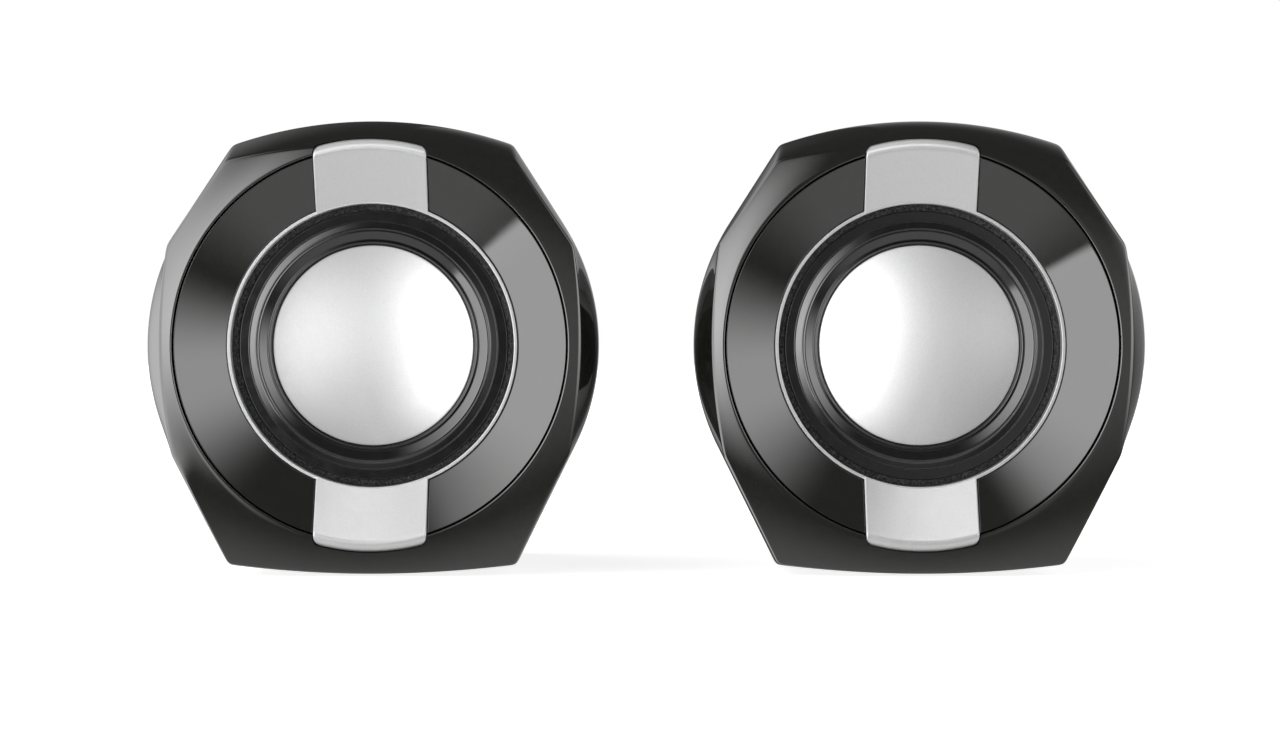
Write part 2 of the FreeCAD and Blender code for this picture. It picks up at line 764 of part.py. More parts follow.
def motor(side, centre):
    """Front plate, ring magnet, and the back plate with its pole."""
    plate = new_body(f"{side}_top_plate", centre)
    plate_back = "plate_front + plate_thickness"
    turn(plate, "ring", [("gap_radius", "plate_front"), ("plate_radius", "plate_front"),
                         ("plate_radius", plate_back), ("gap_radius", plate_back)])
    magnet = new_body(f"{side}_magnet", centre)
    magnet_front = f"{plate_back} + glue"
    magnet_back = f"{magnet_front} + magnet_thickness"
    turn(magnet, "ring", [
        ("magnet_inner", magnet_front), ("magnet_radius - 0.6", magnet_front),
        ("magnet_radius", f"{magnet_front} + 0.6"), ("magnet_radius", f"{magnet_back} - 0.6"),
        ("magnet_radius - 0.6", magnet_back), ("magnet_inner", magnet_back)])
    yoke = new_body(f"{side}_yoke", centre)
    yoke_front = f"{magnet_back} + glue"
    turn(yoke, "pole_and_plate", [
        ("0", "plate_front"), ("pole_radius - 0.4", "plate_front"), ("pole_radius", "plate_front + 0.4"),
        ("pole_radius", yoke_front), ("plate_radius", yoke_front),
        ("plate_radius", f"{yoke_front} + plate_thickness"), ("0", f"{yoke_front} + plate_thickness")])


def terminal_strip(side, centre):
    """Insulating strip on the basket with two solder tags."""
    strip = new_body(f"{side}_terminal_strip", centre)
    low = "-( strip_top + strip_height )"
    raise_from(strip, "board", "strip_depth", "strip_thickness",
               outlines(rectangle("-( strip_half_width )", low, "strip_half_width", "-( strip_top )")))
    tags = new_body(f"{side}_solder_tags", centre)
    shapes = []
    for middle in ("tag_pitch", "-( tag_pitch )"):
        shapes.append(rectangle(f"{middle} - tag_half_width",
                                "-( strip_top + strip_thickness + tag_length )",
                                f"{middle} + tag_half_width", "-( strip_top + strip_thickness )"))
    raise_from(tags, "tags", "strip_depth + strip_thickness + glue", "tag_thickness", outlines(*shapes))


def screw_set(label, centre, places, seat, radius, length, head_radius, head_height):
    """Equal pan-head screws driven towards the front, their heads' undersides at seat."""
    body = new_body(label, centre)
    raise_from(body, "shanks", seat, length, circles_at(places, radius), True)
    raise_from(body, "heads", seat, head_height, circles_at(places, head_radius))
    slots = []
    for across, up in places:
        for wide, tall in (("cross_reach", "cross_half_width"), ("cross_half_width", "cross_reach")):
            slots.append(rectangle(f"{across} - {wide}", f"{up} - {tall}",
                                   f"{across} + {wide}", f"{up} + {tall}"))
    top = f"{seat} + {head_height}"
    for name, chosen in (("level_slots", slots[0::2]), ("upright_slots", slots[1::2])):
        raise_from(body, name, top, "cross_depth", outlines(*chosen), True, "PartDesign::Pocket")


def feet(side, centre):
    """Four rubber pads set into the underside."""
    body = new_body(f"{side}_feet", centre)
    pads = [(across, depth, "foot_radius") for across in both_sides("foot_across")
            for depth in ("front_foot_depth", "rear_foot_depth")]
    flat_pad(body, "pads", "axis_height", "foot_thickness", pads)


def cable_bush(label, centre, place):
    """Rubber bush that holds a cable in the back wall: inner collar, neck, flange and ribbed tail."""
    body = new_body(label, centre)
    steps = [
        ("back_depth - wall - glue - bush_collar_thickness", "bush_collar_thickness", "bush_collar"),
        ("back_depth - wall - glue", "wall + 2 * glue", "bush_neck"),
        ("back_depth + glue", "bush_flange_thickness", "bush_flange"),
    ]
    for index, (depth, length, radius) in enumerate(steps):
        raise_from(body, f"step_{index}", depth, length, circles_at([place], radius))
    rib = f"( bush_tail_length / {BUSH_RIBS} )"
    for index in range(BUSH_RIBS):
        radius = "bush_tail_radius" if index % 2 == 0 else "bush_tail_radius + bush_rib"
        start = f"back_depth + glue + bush_flange_thickness + {index} * {rib}"
        raise_from(body, f"tail_{index}", start, rib,
                   circles_at([place], f"{radius} - {index} * bush_taper"))
    raise_from(body, "bore", "back_depth - 2.5 * wall",
               "bush_tail_length + bush_flange_thickness + 4 * wall",
               circles_at([place], "bush_bore"), kind="PartDesign::Pocket")


def flat_pad(body, name, height, length, shapes, downward=False):
    """Pad outlines of (x, depth) from a level plane, height below the axis, upwards or downwards."""
    plane = [item for item in body.Origin.OriginFeatures if item.Role == "XY_Plane"][0]
    sketch = body.newObject("Sketcher::SketchObject", f"{name}_outline")
    sketch.AttachmentSupport = [(plane, "")]
    sketch.MapMode = "FlatFace"
    sketch.setExpression("AttachmentOffset.Base.z", full(f"-( {height} )"))
    for shape in shapes:
        if len(shape) == 3:
            draw_circle(sketch, *shape)
        else:
            draw_outline(sketch, shape)
    pad = body.newObject("PartDesign::Pad", name)
    pad.Profile = sketch
    pad.setExpression("Length", full(length))
    pad.Reversed = downward
    return pad


def amplifier(side, centre):
    """Amplifier board with its chip, heat spreader, capacitors, socket and screws."""
    board = new_body(f"{side}_amplifier_board", centre)
    edge = rectangle("-( board_half_width )", "board_front", "board_half_width", "board_back")
    holes = [(across, depth, "board_hole_radius") for across, depth in board_post_places()]
    flat_pad(board, "plate", "board_down + board_thickness", "board_thickness", [edge] + holes)
    top = "board_down - glue"
    chip = new_body(f"{side}_amplifier_chip", centre)
    flat_pad(chip, "package", top, "chip_height",
             [rectangle("-( chip_half_width )", "chip_front", "chip_half_width", "chip_back")])
    cooler = new_body(f"{side}_heat_spreader", centre)
    seat = "board_down - chip_height - 3 * glue"
    ends = ("chip_front - cooler_overhang", "chip_back + cooler_overhang")
    flat_pad(cooler, "foot", seat, "cooler_thickness",
             [rectangle("-( cooler_half_width )", ends[0], "cooler_half_width", ends[1])])
    fins = []
    for index in range(COOLER_FINS):
        left = f"{index} * fin_pitch - cooler_half_width"
        fins.append(rectangle(left, ends[0], f"{left} + cooler_thickness", ends[1]))
    flat_pad(cooler, "fins", f"{seat} - cooler_thickness", "fin_height", fins)
    capacitors = new_body(f"{side}_capacitors", centre)
    cans = [("small_can_across", "small_can_front", "small_can_radius"),
            ("small_can_across", "small_can_back", "small_can_radius"),
            ("-( large_can_across )", "large_can_depth", "large_can_radius")]
    flat_pad(capacitors, "cans", top, "can_height", cans)
    socket = new_body(f"{side}_lead_socket", centre)
    flat_pad(socket, "housing", top, "socket_height",
             [rectangle("-( socket_half_width )", "socket_front", "socket_half_width", "socket_back")])
    screws = new_body(f"{side}_board_screws", centre)
    heads = [(across, depth, "board_head_radius") for across, depth in board_post_places()]
    flat_pad(screws, "heads", top, "board_head_height", heads)
    shanks = [(across, depth, "board_screw_radius") for across, depth in board_post_places()]
    flat_pad(screws, "shanks", "board_down + board_thickness - glue", "board_thickness", shanks)


def bent_wire(route, bend):
    """A path of straight runs through the points of route, each corner rounded with radius bend."""
    edges = []
    start = route[0]
    for index in range(1, len(route) - 1):
        corner = route[index]
        before = (route[index - 1] - corner).normalize()
        after = (route[index + 1] - corner).normalize()
        half_turn = before.getAngle(after) / 2
        cut_back = bend / math.tan(half_turn)
        arc_start = corner + before * cut_back
        arc_end = corner + after * cut_back
        towards = (before + after).normalize()
        middle = corner + towards * (bend / math.sin(half_turn) - bend)
        edges.append(Part.LineSegment(start, arc_start).toShape())
        edges.append(Part.Arc(arc_start, middle, arc_end).toShape())
        start = arc_end
    edges.append(Part.LineSegment(start, route[-1]).toShape())
    return Part.Wire(edges)


def leads(label, centre, routes, bend):
    """Insulated leads as round solids swept along bent paths."""
    solids = []
    radius = number("lead_radius")
    for route in routes:
        path = bent_wire(route, bend)
        disc = Part.Circle(route[0], route[1] - route[0], radius).toShape()
        pipe = path.makePipeShell([Part.Wire([disc])], True, False)
        solids.append(pipe)
    feature = doc.addObject("Part::Feature", label)
    feature.Label = label
    feature.Shape = Part.makeCompound(solids)
    place = FreeCAD.Vector(number(centre), -number("middle_depth"), number("axis_height"))
    feature.Placement = FreeCAD.Placement(place, FreeCAD.Rotation())
    subparts.append(feature)


def lead_routes(start_depth, start_down):
    """Two leads from a start on the middle plane, forward and up to the solder tags."""
    pitch = number("tag_pitch")
    spread = number("lead_spread")
    tag_depth = number("strip_depth + strip_thickness + tag_thickness + lead_radius + 3 * glue")
    tag_down = number("strip_top + strip_thickness + tag_overlap")
    routes = []
    for way in (-1, 1):
        beside = FreeCAD.Vector(way * spread, number(start_depth), -number(start_down))
        ahead = FreeCAD.Vector(way * pitch, number("lead_rise_depth"), -number("lead_rise_down"))
        below = FreeCAD.Vector(way * pitch, tag_depth, -tag_down - number("tag_drop"))
        tag = FreeCAD.Vector(way * pitch, tag_depth, -tag_down)
        routes.append([beside, ahead, below, tag])
    return routes


def speaker(side, centre, bush_places, board):
    """Every piece of one loudspeaker."""
    front_shell(side, centre)
    rear_shell(side, centre, bush_places, board)
    dish(side, centre)
    trim(side, centre)
    gasket(side, centre)
    basket(side, centre)
    surround(side, centre)
    cone(side, centre)
    dust_cap(side, centre)
    voice_coil(side, centre)
    spider(side, centre)
    motor(side, centre)
    terminal_strip(side, centre)
    screw_set(f"{side}_case_screws", centre, boss_places(), "well_floor + glue",
              "case_screw_radius", "case_screw_length", "case_head_radius", "case_head_height")
    screw_set(f"{side}_driver_screws", centre, ear_places(), "flange_front + steel + glue",
              "driver_screw_radius", "driver_screw_length", "driver_head_radius", "driver_head_height")
    feet(side, centre)


LEFT = "-( half_spacing )"
RIGHT = "half_spacing"
MIDDLE_BUSH = ("0", "-( bush_down )")
LINK_BUSH = ("-( bush_shift )", "-( bush_down )")
INPUT_BUSH = ("bush_shift", "-( bush_down )")

speaker("left", LEFT, [MIDDLE_BUSH], False)
speaker("right", RIGHT, [LINK_BUSH, INPUT_BUSH], True)
cable_bush("left_cable_bush", LEFT, MIDDLE_BUSH)
cable_bush("right_link_cable_bush", RIGHT, LINK_BUSH)
cable_bush("right_input_cable_bush", RIGHT, INPUT_BUSH)
amplifier("right", RIGHT)
doc.recompute()

bush_end = "back_depth - wall - bush_collar_thickness - collar_clearance"
leads("left_leads", LEFT, lead_routes(bush_end, "bush_down"), number("lead_bend"))
socket_face = "socket_front - lead_radius"
leads("right_leads", RIGHT, lead_routes(socket_face, "board_down - socket_reach"), number("lead_bend"))
doc.recompute()

for item in doc.Objects:
    if "Invalid" in item.State or "Error" in item.State:
        raise RuntimeError(f"{item.Label} failed: {item.State}")

os.makedirs("parts", exist_ok=True)
for item in subparts:
    shape = item.Shape
    if shape.isNull() or not shape.isValid():
        raise RuntimeError(f"{item.Label} has no valid shape")
    shape.exportStep(f"parts/{item.Label}.step")
    print(f"{item.Label}: {len(shape.Solids)} solid(s), {shape.Volume:.1f} mm3, {shape.BoundBox}")
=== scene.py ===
"""A pair of compact desktop loudspeakers: glossy black casings, conical dishes and silver trim.

Every piece is drawn in millimetres about its speaker's driver axis, as (across, depth, up), with depth 0 at
the rim of the front face and growing towards the back. Speaker.world() puts it in the frame, in metres.
"""

import json
import math

import bmesh
import bpy
import numpy as np
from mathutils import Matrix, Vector

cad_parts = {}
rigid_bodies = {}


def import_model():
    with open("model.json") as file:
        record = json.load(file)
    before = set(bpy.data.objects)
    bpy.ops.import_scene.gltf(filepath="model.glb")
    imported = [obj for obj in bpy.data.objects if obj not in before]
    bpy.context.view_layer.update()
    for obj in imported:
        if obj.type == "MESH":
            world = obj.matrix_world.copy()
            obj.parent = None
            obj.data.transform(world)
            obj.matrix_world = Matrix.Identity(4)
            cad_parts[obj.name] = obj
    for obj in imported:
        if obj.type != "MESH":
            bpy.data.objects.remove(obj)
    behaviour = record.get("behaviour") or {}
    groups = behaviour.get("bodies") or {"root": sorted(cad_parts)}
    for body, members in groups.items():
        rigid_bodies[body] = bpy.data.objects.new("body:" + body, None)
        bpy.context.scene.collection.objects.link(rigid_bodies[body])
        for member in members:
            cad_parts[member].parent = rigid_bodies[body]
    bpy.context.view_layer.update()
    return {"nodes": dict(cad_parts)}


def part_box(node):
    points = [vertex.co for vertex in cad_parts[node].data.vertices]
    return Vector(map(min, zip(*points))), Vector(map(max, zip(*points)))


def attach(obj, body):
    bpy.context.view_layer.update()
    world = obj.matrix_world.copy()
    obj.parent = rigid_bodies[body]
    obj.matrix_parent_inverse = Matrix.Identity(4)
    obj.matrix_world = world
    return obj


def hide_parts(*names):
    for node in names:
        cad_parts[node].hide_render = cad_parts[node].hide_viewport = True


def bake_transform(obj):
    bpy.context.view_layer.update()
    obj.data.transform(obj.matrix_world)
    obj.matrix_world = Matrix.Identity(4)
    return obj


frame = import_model()

MM = 0.001
TURN = 256  # columns in one full turn of a round part
SIDES = ("left", "right")

# Casing outlines seen from the front: apexes of the bowed top, sides and foot, and the corners between them.
OUTLINES = {
    "face": {"top": 35.35, "peak": (25.6, 32.6), "shoulder": (35.9, 17.5), "side": 36.95,
             "hip": (35.0, -19.3), "heel": (25.3, -38.6), "foot": -40.2},
    "wide": {"top": 39.9, "peak": (24.9, 35.7), "shoulder": (34.1, 21.3), "side": 40.15,
             "hip": (35.8, -18.2), "heel": (25.5, -39.0), "foot": -40.5},
    "back": {"top": 34.6, "peak": (21.6, 30.8), "shoulder": (31.4, 15.2), "side": 34.9,
             "hip": (31.0, -16.2), "heel": (22.8, -38.6), "foot": -39.5},
}
CORNER_SPREAD = 0.55  # how far an outline's corners are rubbed round
CREASE_SOFTNESS = 0.45  # how far before the crease the bezel starts to bend
WIDEST_DEPTH = 8.0
SEAM_DEPTH = 26.0
SEAM_GAP = 0.3
SEAM_SHARE = 0.985  # the front casing at its seam, against its widest
REAR_SHARE = 0.992  # the rear casing at the seam, against the front one
BACK_DEPTH = 69.0
BACK_EDGE = 2.6  # radius of the rounded back edge
WALL_SHARE = 0.945  # the front casing's inner face, against its outer one

RIM_RADIUS = 34.8
BEZEL_START = 35.05
BEZEL_EDGE = BEZEL_START + 0.05
BEZEL_FALL, BEZEL_CURVE = 0.176, 0.012
DRIVER_HOLE = 25.85
SEAT_RADIUS = 29.2
SEAT_DEPTH = 8.0

DISH_INNER = 25.75
DISH_RADIUS = 34.5
DISH_EDGE_DEPTH = 0.35
DISH_THROAT_DEPTH = 5.55
DISH_SKIN = 0.95  # thickness of the plates on each side of the tabs
DISH_THICKNESS = 1.5  # the same with the ring behind them
DISH_EDGE = 0.14  # radius of the plates' rounded edges

RING_INNER = 25.15
RING_FRONT, RING_BACK = 5.2, 7.9
TAB_ROOT = 25.4  # where the tabs start, within the ring
TAB_HALF_WIDTH = 9.95
TAB_GAP = 0.15
TAB_END = 36.3
TAB_CORNER = 1.1
TAB_EDGE = 0.28  # radius of the tabs' rounded edges
TAB_FOLD = 34.8
TAB_FOLD_DEPTH = -0.2  # the fold stands a little in front of the rim
TAB_DEPTH = 2.3

GASKET_INNER = 24.0
PIT_DEPTH = 0.09
SURROUND_INNER = 17.95
SPIDER_INNER = 7.25
CAP_EDGE_DEPTH = 7.85
CAP_WALL = 0.4

SCREW_PLACES = [(-19.0, 24.5), (19.0, 24.5), (-19.0, -33.0), (19.0, -33.0)]
TUBE_RADIUS = 3.9
WELL_RADIUS = 2.6
WELL_FLOOR = 32.0
CABLE_HOLE_RADIUS = 2.65
FOOT_RADIUS = 4.0

WELD_DISTANCE = 1e-6  # metres
SMOOTH_LIMIT = 50  # degrees; sharper edges stay sharp


class Speaker:
    """One speaker of the pair: its side, its bodies and where its driver's axis meets the rim plane."""

    def __init__(self, side):
        self.side = side
        low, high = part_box(f"{side}_dust_cap")
        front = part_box(f"{side}_front_shell")[0].y
        self.origin = np.array(((low.x + high.x) / 2, front, (low.z + high.z) / 2))

    def world(self, points):
        """Points about the driver's axis, in millimetres, as metres in the frame."""
        return self.origin + MM * np.asarray(points, float)

    def radius(self, node):
        """Half the width of one of this speaker's CAD nodes, in millimetres."""
        low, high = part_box(f"{self.side}_{node}")
        return (high.x - low.x) / 2 / MM

    def depth(self, node, end=0):
        """The front (0) or back (1) of one of this speaker's CAD nodes, in millimetres."""
        return (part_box(f"{self.side}_{node}")[end].y - self.origin[1]) / MM

    def body(self, moving=False):
        """The body of the casing, or of the cone and what moves with it."""
        return f"{self.side}_{'diaphragm' if moving else 'speaker'}"


# ---------------------------------------------------------------- outlines and meshes


def arc(start, via, finish, steps):
    """Points along the circular arc from start to finish through via, both ends included."""
    (ax, ay), (bx, by), (cx, cy) = start, via, finish
    turn = 2 * (ax * (by - cy) + bx * (cy - ay) + cx * (ay - by))
    a, b, c = ax * ax + ay * ay, bx * bx + by * by, cx * cx + cy * cy
    centre = np.array(((a * (by - cy) + b * (cy - ay) + c * (ay - by)) / turn,
                       (a * (cx - bx) + b * (ax - cx) + c * (bx - ax)) / turn))
    angles = [math.atan2(p[1] - centre[1], p[0] - centre[0]) for p in (start, via, finish)]
    first = (angles[1] - angles[0] + math.pi) % (2 * math.pi) - math.pi
    second = (angles[2] - angles[1] + math.pi) % (2 * math.pi) - math.pi
    radius = math.hypot(ax - centre[0], ay - centre[1])
    sweep = angles[0] + np.linspace(0, first + second, steps + 1)
    return centre + radius * np.stack((np.cos(sweep), np.sin(sweep)), axis=1)


def straight(start, finish, steps):
    """Evenly spaced points from start to finish, both ends included."""
    share = np.linspace(0, 1, steps + 1)[:, None]
    return np.array(start) * (1 - share) + np.array(finish) * share


def bend(start, corner, finish, steps=5):
    """A quadratic curve that cuts a corner; it also works on whole rows of points."""
    share = np.linspace(0, 1, steps + 1)
    return [start * (1 - t) ** 2 + corner * 2 * t * (1 - t) + finish * t ** 2 for t in share]


def rubbed(loop, spread):
    """A closed loop of points with its corners rubbed round over about the distance spread."""
    spacing = np.linalg.norm(np.roll(loop, -1, axis=0) - loop, axis=1).mean()
    reach = math.ceil(3 * spread / spacing)
    offsets = np.arange(-reach, reach + 1)
    weights = np.exp(-0.5 * (offsets * spacing / spread) ** 2)
    weights /= weights.sum()
    return sum(w * np.roll(loop, k, axis=0) for w, k in zip(weights, offsets))


def outline(name):
    """One casing outline as (across, up) points, clockwise from the top.

    All outlines match point for point.
    """
    marks = OUTLINES[name]
    peak, shoulder, hip, heel = marks["peak"], marks["shoulder"], marks["hip"], marks["heel"]
    middle = 78  # steps in half of the top or foot
    top = arc((-peak[0], peak[1]), (0, marks["top"]), peak, 2 * middle)[middle:-1]
    foot = arc(heel, (0, marks["foot"]), (-heel[0], heel[1]), 2 * middle)[:middle + 1]
    side = arc(shoulder, (marks["side"], 0), hip, 112)
    half = np.vstack([top, straight(peak, shoulder, 60)[:-1], side[:-1], straight(hip, heel, 70)[:-1], foot])
    other = half[-2:0:-1] * (-1, 1)
    return rubbed(np.vstack([half, other]), CORNER_SPREAD)


def rounded(corners, steps=5):
    """A closed (radius, depth) outline; a corner with a third value is rounded over that distance.

    A rounded corner gives steps + 3 points: its bend, and one point on each side a little further out.
    """
    path = []
    for index, corner in enumerate(corners):
        here = np.array(corner[:2], float)
        if len(corner) < 3:
            path.append(here)
            continue
        before = np.array(corners[index - 1][:2], float) - here
        after = np.array(corners[(index + 1) % len(corners)][:2], float) - here
        gaps = [np.linalg.norm(before), np.linalg.norm(after)]
        reach = min(corner[2], 0.4 * min(gaps))
        into, out = before / gaps[0], after / gaps[1]
        path.append(here + into * reach * 1.2)
        path.extend(bend(here + into * reach, here, here + out * reach, steps))
        path.append(here + out * reach * 1.2)
    return np.array(path)


def grid_faces(rows, columns, loop_rows=False, loop_columns=False):
    """The quads of a grid of points, which may close on itself either way."""
    faces = []
    for row in range(rows if loop_rows else rows - 1):
        here, below = row * columns, (row + 1) % rows * columns
        for column in range(columns if loop_columns else columns - 1):
            beside = (column + 1) % columns
            faces.append((here + column, here + beside, below + beside, below + column))
    return faces


def grid_cap(row, columns, turned_over=False):
    """One face across a row of a grid whose columns close on themselves."""
    face = tuple(row * columns + column for column in range(columns))
    return face[::-1] if turned_over else face


def new_object(name, points, faces, sharp_angle=SMOOTH_LIMIT):
    """A smooth-shaded closed mesh with outward normals; edges sharper than sharp_angle stay sharp."""
    mesh = bpy.data.meshes.new(name)
    mesh.from_pydata(np.asarray(points).reshape(-1, 3).tolist(), [], faces)
    obj = bpy.data.objects.new(name, mesh)
    bpy.context.scene.collection.objects.link(obj)
    finish_mesh(obj, sharp_angle)
    return obj


def finish_mesh(obj, sharp_angle=SMOOTH_LIMIT):
    """Weld, drop flat slivers and fill what they leave, turn normals outwards and shade smooth."""
    work = bmesh.new()
    work.from_mesh(obj.data)
    bmesh.ops.remove_doubles(work, verts=work.verts, dist=WELD_DISTANCE)
    bmesh.ops.dissolve_degenerate(work, edges=work.edges, dist=WELD_DISTANCE)
    bmesh.ops.holes_fill(work, edges=[edge for edge in work.edges if edge.is_boundary], sides=4)
    bmesh.ops.recalc_face_normals(work, faces=work.faces)
    for face in work.faces:
        face.smooth = True
    limit = math.radians(sharp_angle)
    for edge in work.edges:
        edge.smooth = len(edge.link_faces) == 2 and edge.calc_face_angle(math.pi) < limit
    work.to_mesh(obj.data)
    work.free()
    obj.data.update()


def turned(speaker, name, path, turn=TURN, ends_meet=True):
    """A solid made by turning a (radius, depth) path about the driver's axis.

    The path's ends may lie on the axis.
    """
    angles = np.linspace(0, 2 * math.pi, turn, endpoint=False)
    radius, depth = path[:, :1], path[:, 1:]
    points = np.stack((radius * np.cos(angles), depth + 0 * angles, radius * np.sin(angles)), axis=2)
    faces = grid_faces(len(path), turn, ends_meet, True)
    return new_object(name, speaker.world(points), faces)


def slab(name, top, bottom):
    """A closed plate between two matching grids of points."""
    rows, columns = top.shape[:2]
    count = rows * columns
    faces = grid_faces(rows, columns)
    faces += [tuple(count + index for index in reversed(face)) for face in faces]
    border = list(range(columns)) + [row * columns + columns - 1 for row in range(1, rows)]
    border += [(rows - 1) * columns + column for column in range(columns - 2, -1, -1)]
    border += [row * columns for row in range(rows - 2, 0, -1)]
    for here, there in zip(border, border[1:] + border[:1]):
        faces.append((there, here, count + here, count + there))
    return new_object(name, np.vstack([top.reshape(-1, 3), bottom.reshape(-1, 3)]), faces)


def join(name, objects):
    """Several meshes as one object."""
    for obj in bpy.context.scene.objects:
        obj.select_set(obj in objects)
    bpy.context.view_layer.objects.active = objects[0]
    bpy.ops.object.join()
    objects[0].name = objects[0].data.name = name
    return objects[0]


def combine(obj, other, operation):
    """Cut other out of obj, or unite them, and remove other."""
    change = obj.modifiers.new("combine", "BOOLEAN")
    change.object = other
    change.operation = operation
    change.solver = "EXACT"
    bpy.context.view_layer.update()
    evaluated = obj.evaluated_get(bpy.context.evaluated_depsgraph_get())
    mesh = bpy.data.meshes.new_from_object(evaluated)
    obj.modifiers.clear()
    obj.data = mesh
    bpy.data.objects.remove(other)
    finish_mesh(obj)
    return obj


def prism(speaker, name, plan, front, back):
    """A straight-sided solid from an (across, up) outline, between two depths."""
    rings = np.array([[(x, depth, z) for x, z in plan] for depth in (front, back)])
    count = len(plan)
    faces = grid_faces(2, count, False, True) + [grid_cap(0, count), grid_cap(1, count, True)]
    return new_object(name, speaker.world(rings), faces, 30)


def crowded(steps, power=2.2):
    """Shares from 0 to 1 that crowd towards both ends."""
    share = np.linspace(-1, 1, steps + 1)
    return 0.5 + 0.5 * np.sign(share) * (1 - (1 - np.abs(share)) ** power)


# ---------------------------------------------------------------- casing


def bezel_depth(radius):
    """How far the bezel has fallen back at a distance from the driver's axis."""
    out = np.maximum(radius - BEZEL_START, 0)
    return BEZEL_FALL * out + BEZEL_CURVE * out ** 2


def stacked(rows):
    """Rows of (plan, depth), each plan an array of (across, up) points, as a grid of points."""
    grid = []
    for plan, depth in rows:
        depths = np.broadcast_to(depth, (len(plan),))
        grid.append(np.stack((plan[:, 0], depths, plan[:, 1]), axis=1))
    return grid


def front_shell(speaker):
    """Glossy front casing in one skin: driver seat, rim, bezel, soft crease, bulging walls and inner face."""
    face, wide = outline("face"), outline("wide")
    reach = np.linalg.norm(face, axis=1)
    heading = face / reach[:, None]
    crease = bezel_depth(reach)

    def circle(radius):
        """A ring of points on the outline's bearings, at one radius or at a radius for each."""
        return heading * np.broadcast_to(radius, reach.shape)[:, None]

    def wall(share):
        """The bulging wall at a share of the way from the crease to the widest place."""
        swell = 1 - (1 - share) ** 1.7
        return stacked([(face + (wide - face) * swell, crease + (WIDEST_DEPTH - crease) * share)])[0]

    hole = circle(DRIVER_HOLE)
    grid = stacked([(hole, SEAT_DEPTH), (hole, 7.15), (circle(RIM_RADIUS), 1.95)])
    rim = stacked([(circle(RIM_RADIUS), 0.32), (circle(RIM_RADIUS), 0.0), (circle(BEZEL_EDGE), 0.0)])
    grid += stacked([(circle(RIM_RADIUS), 0.5)]) + bend(*rim, steps=6)
    for share in np.linspace(0, 1, 10)[1:]:
        radius = BEZEL_EDGE + (reach - CREASE_SOFTNESS - BEZEL_EDGE) * share
        grid += stacked([(circle(radius), bezel_depth(radius))])
    corner = stacked([(face, crease)])[0]
    after_crease = 0.045
    grid += bend(grid[-1], corner, wall(after_crease), steps=7)[1:]
    grid += [wall(share) for share in np.linspace(after_crease, 1, 18)[1:]]
    for share in np.linspace(0, 1, 10)[1:]:
        narrowing = 1 - (1 - SEAM_SHARE) * share ** 2
        grid += stacked([(wide * narrowing, WIDEST_DEPTH + (SEAM_DEPTH - 0.5 - WIDEST_DEPTH) * share)])
    seam = wide * SEAM_SHARE
    tip = stacked([(seam, SEAM_DEPTH - 0.3), (seam, SEAM_DEPTH), (seam * 0.993, SEAM_DEPTH)])
    grid += bend(*tip, steps=4)
    middle = face + (wide - face) * 0.7
    grid += stacked([(seam * WALL_SHARE, SEAM_DEPTH), (wide * WALL_SHARE, WIDEST_DEPTH + 1),
                     (middle * WALL_SHARE, 5.2), (circle(35.2), 3.7), (circle(SEAT_RADIUS), 7.05),
                     (circle(SEAT_RADIUS), SEAT_DEPTH)])
    faces = grid_faces(len(grid), len(face), True, True)
    shell = new_object(f"{speaker.side}_front_casing", speaker.world(np.array(grid)), faces)
    notch = prism(speaker, "notch", tab_strip(TAB_GAP), -3, TAB_DEPTH + 0.1)
    return combine(shell, notch, "DIFFERENCE")


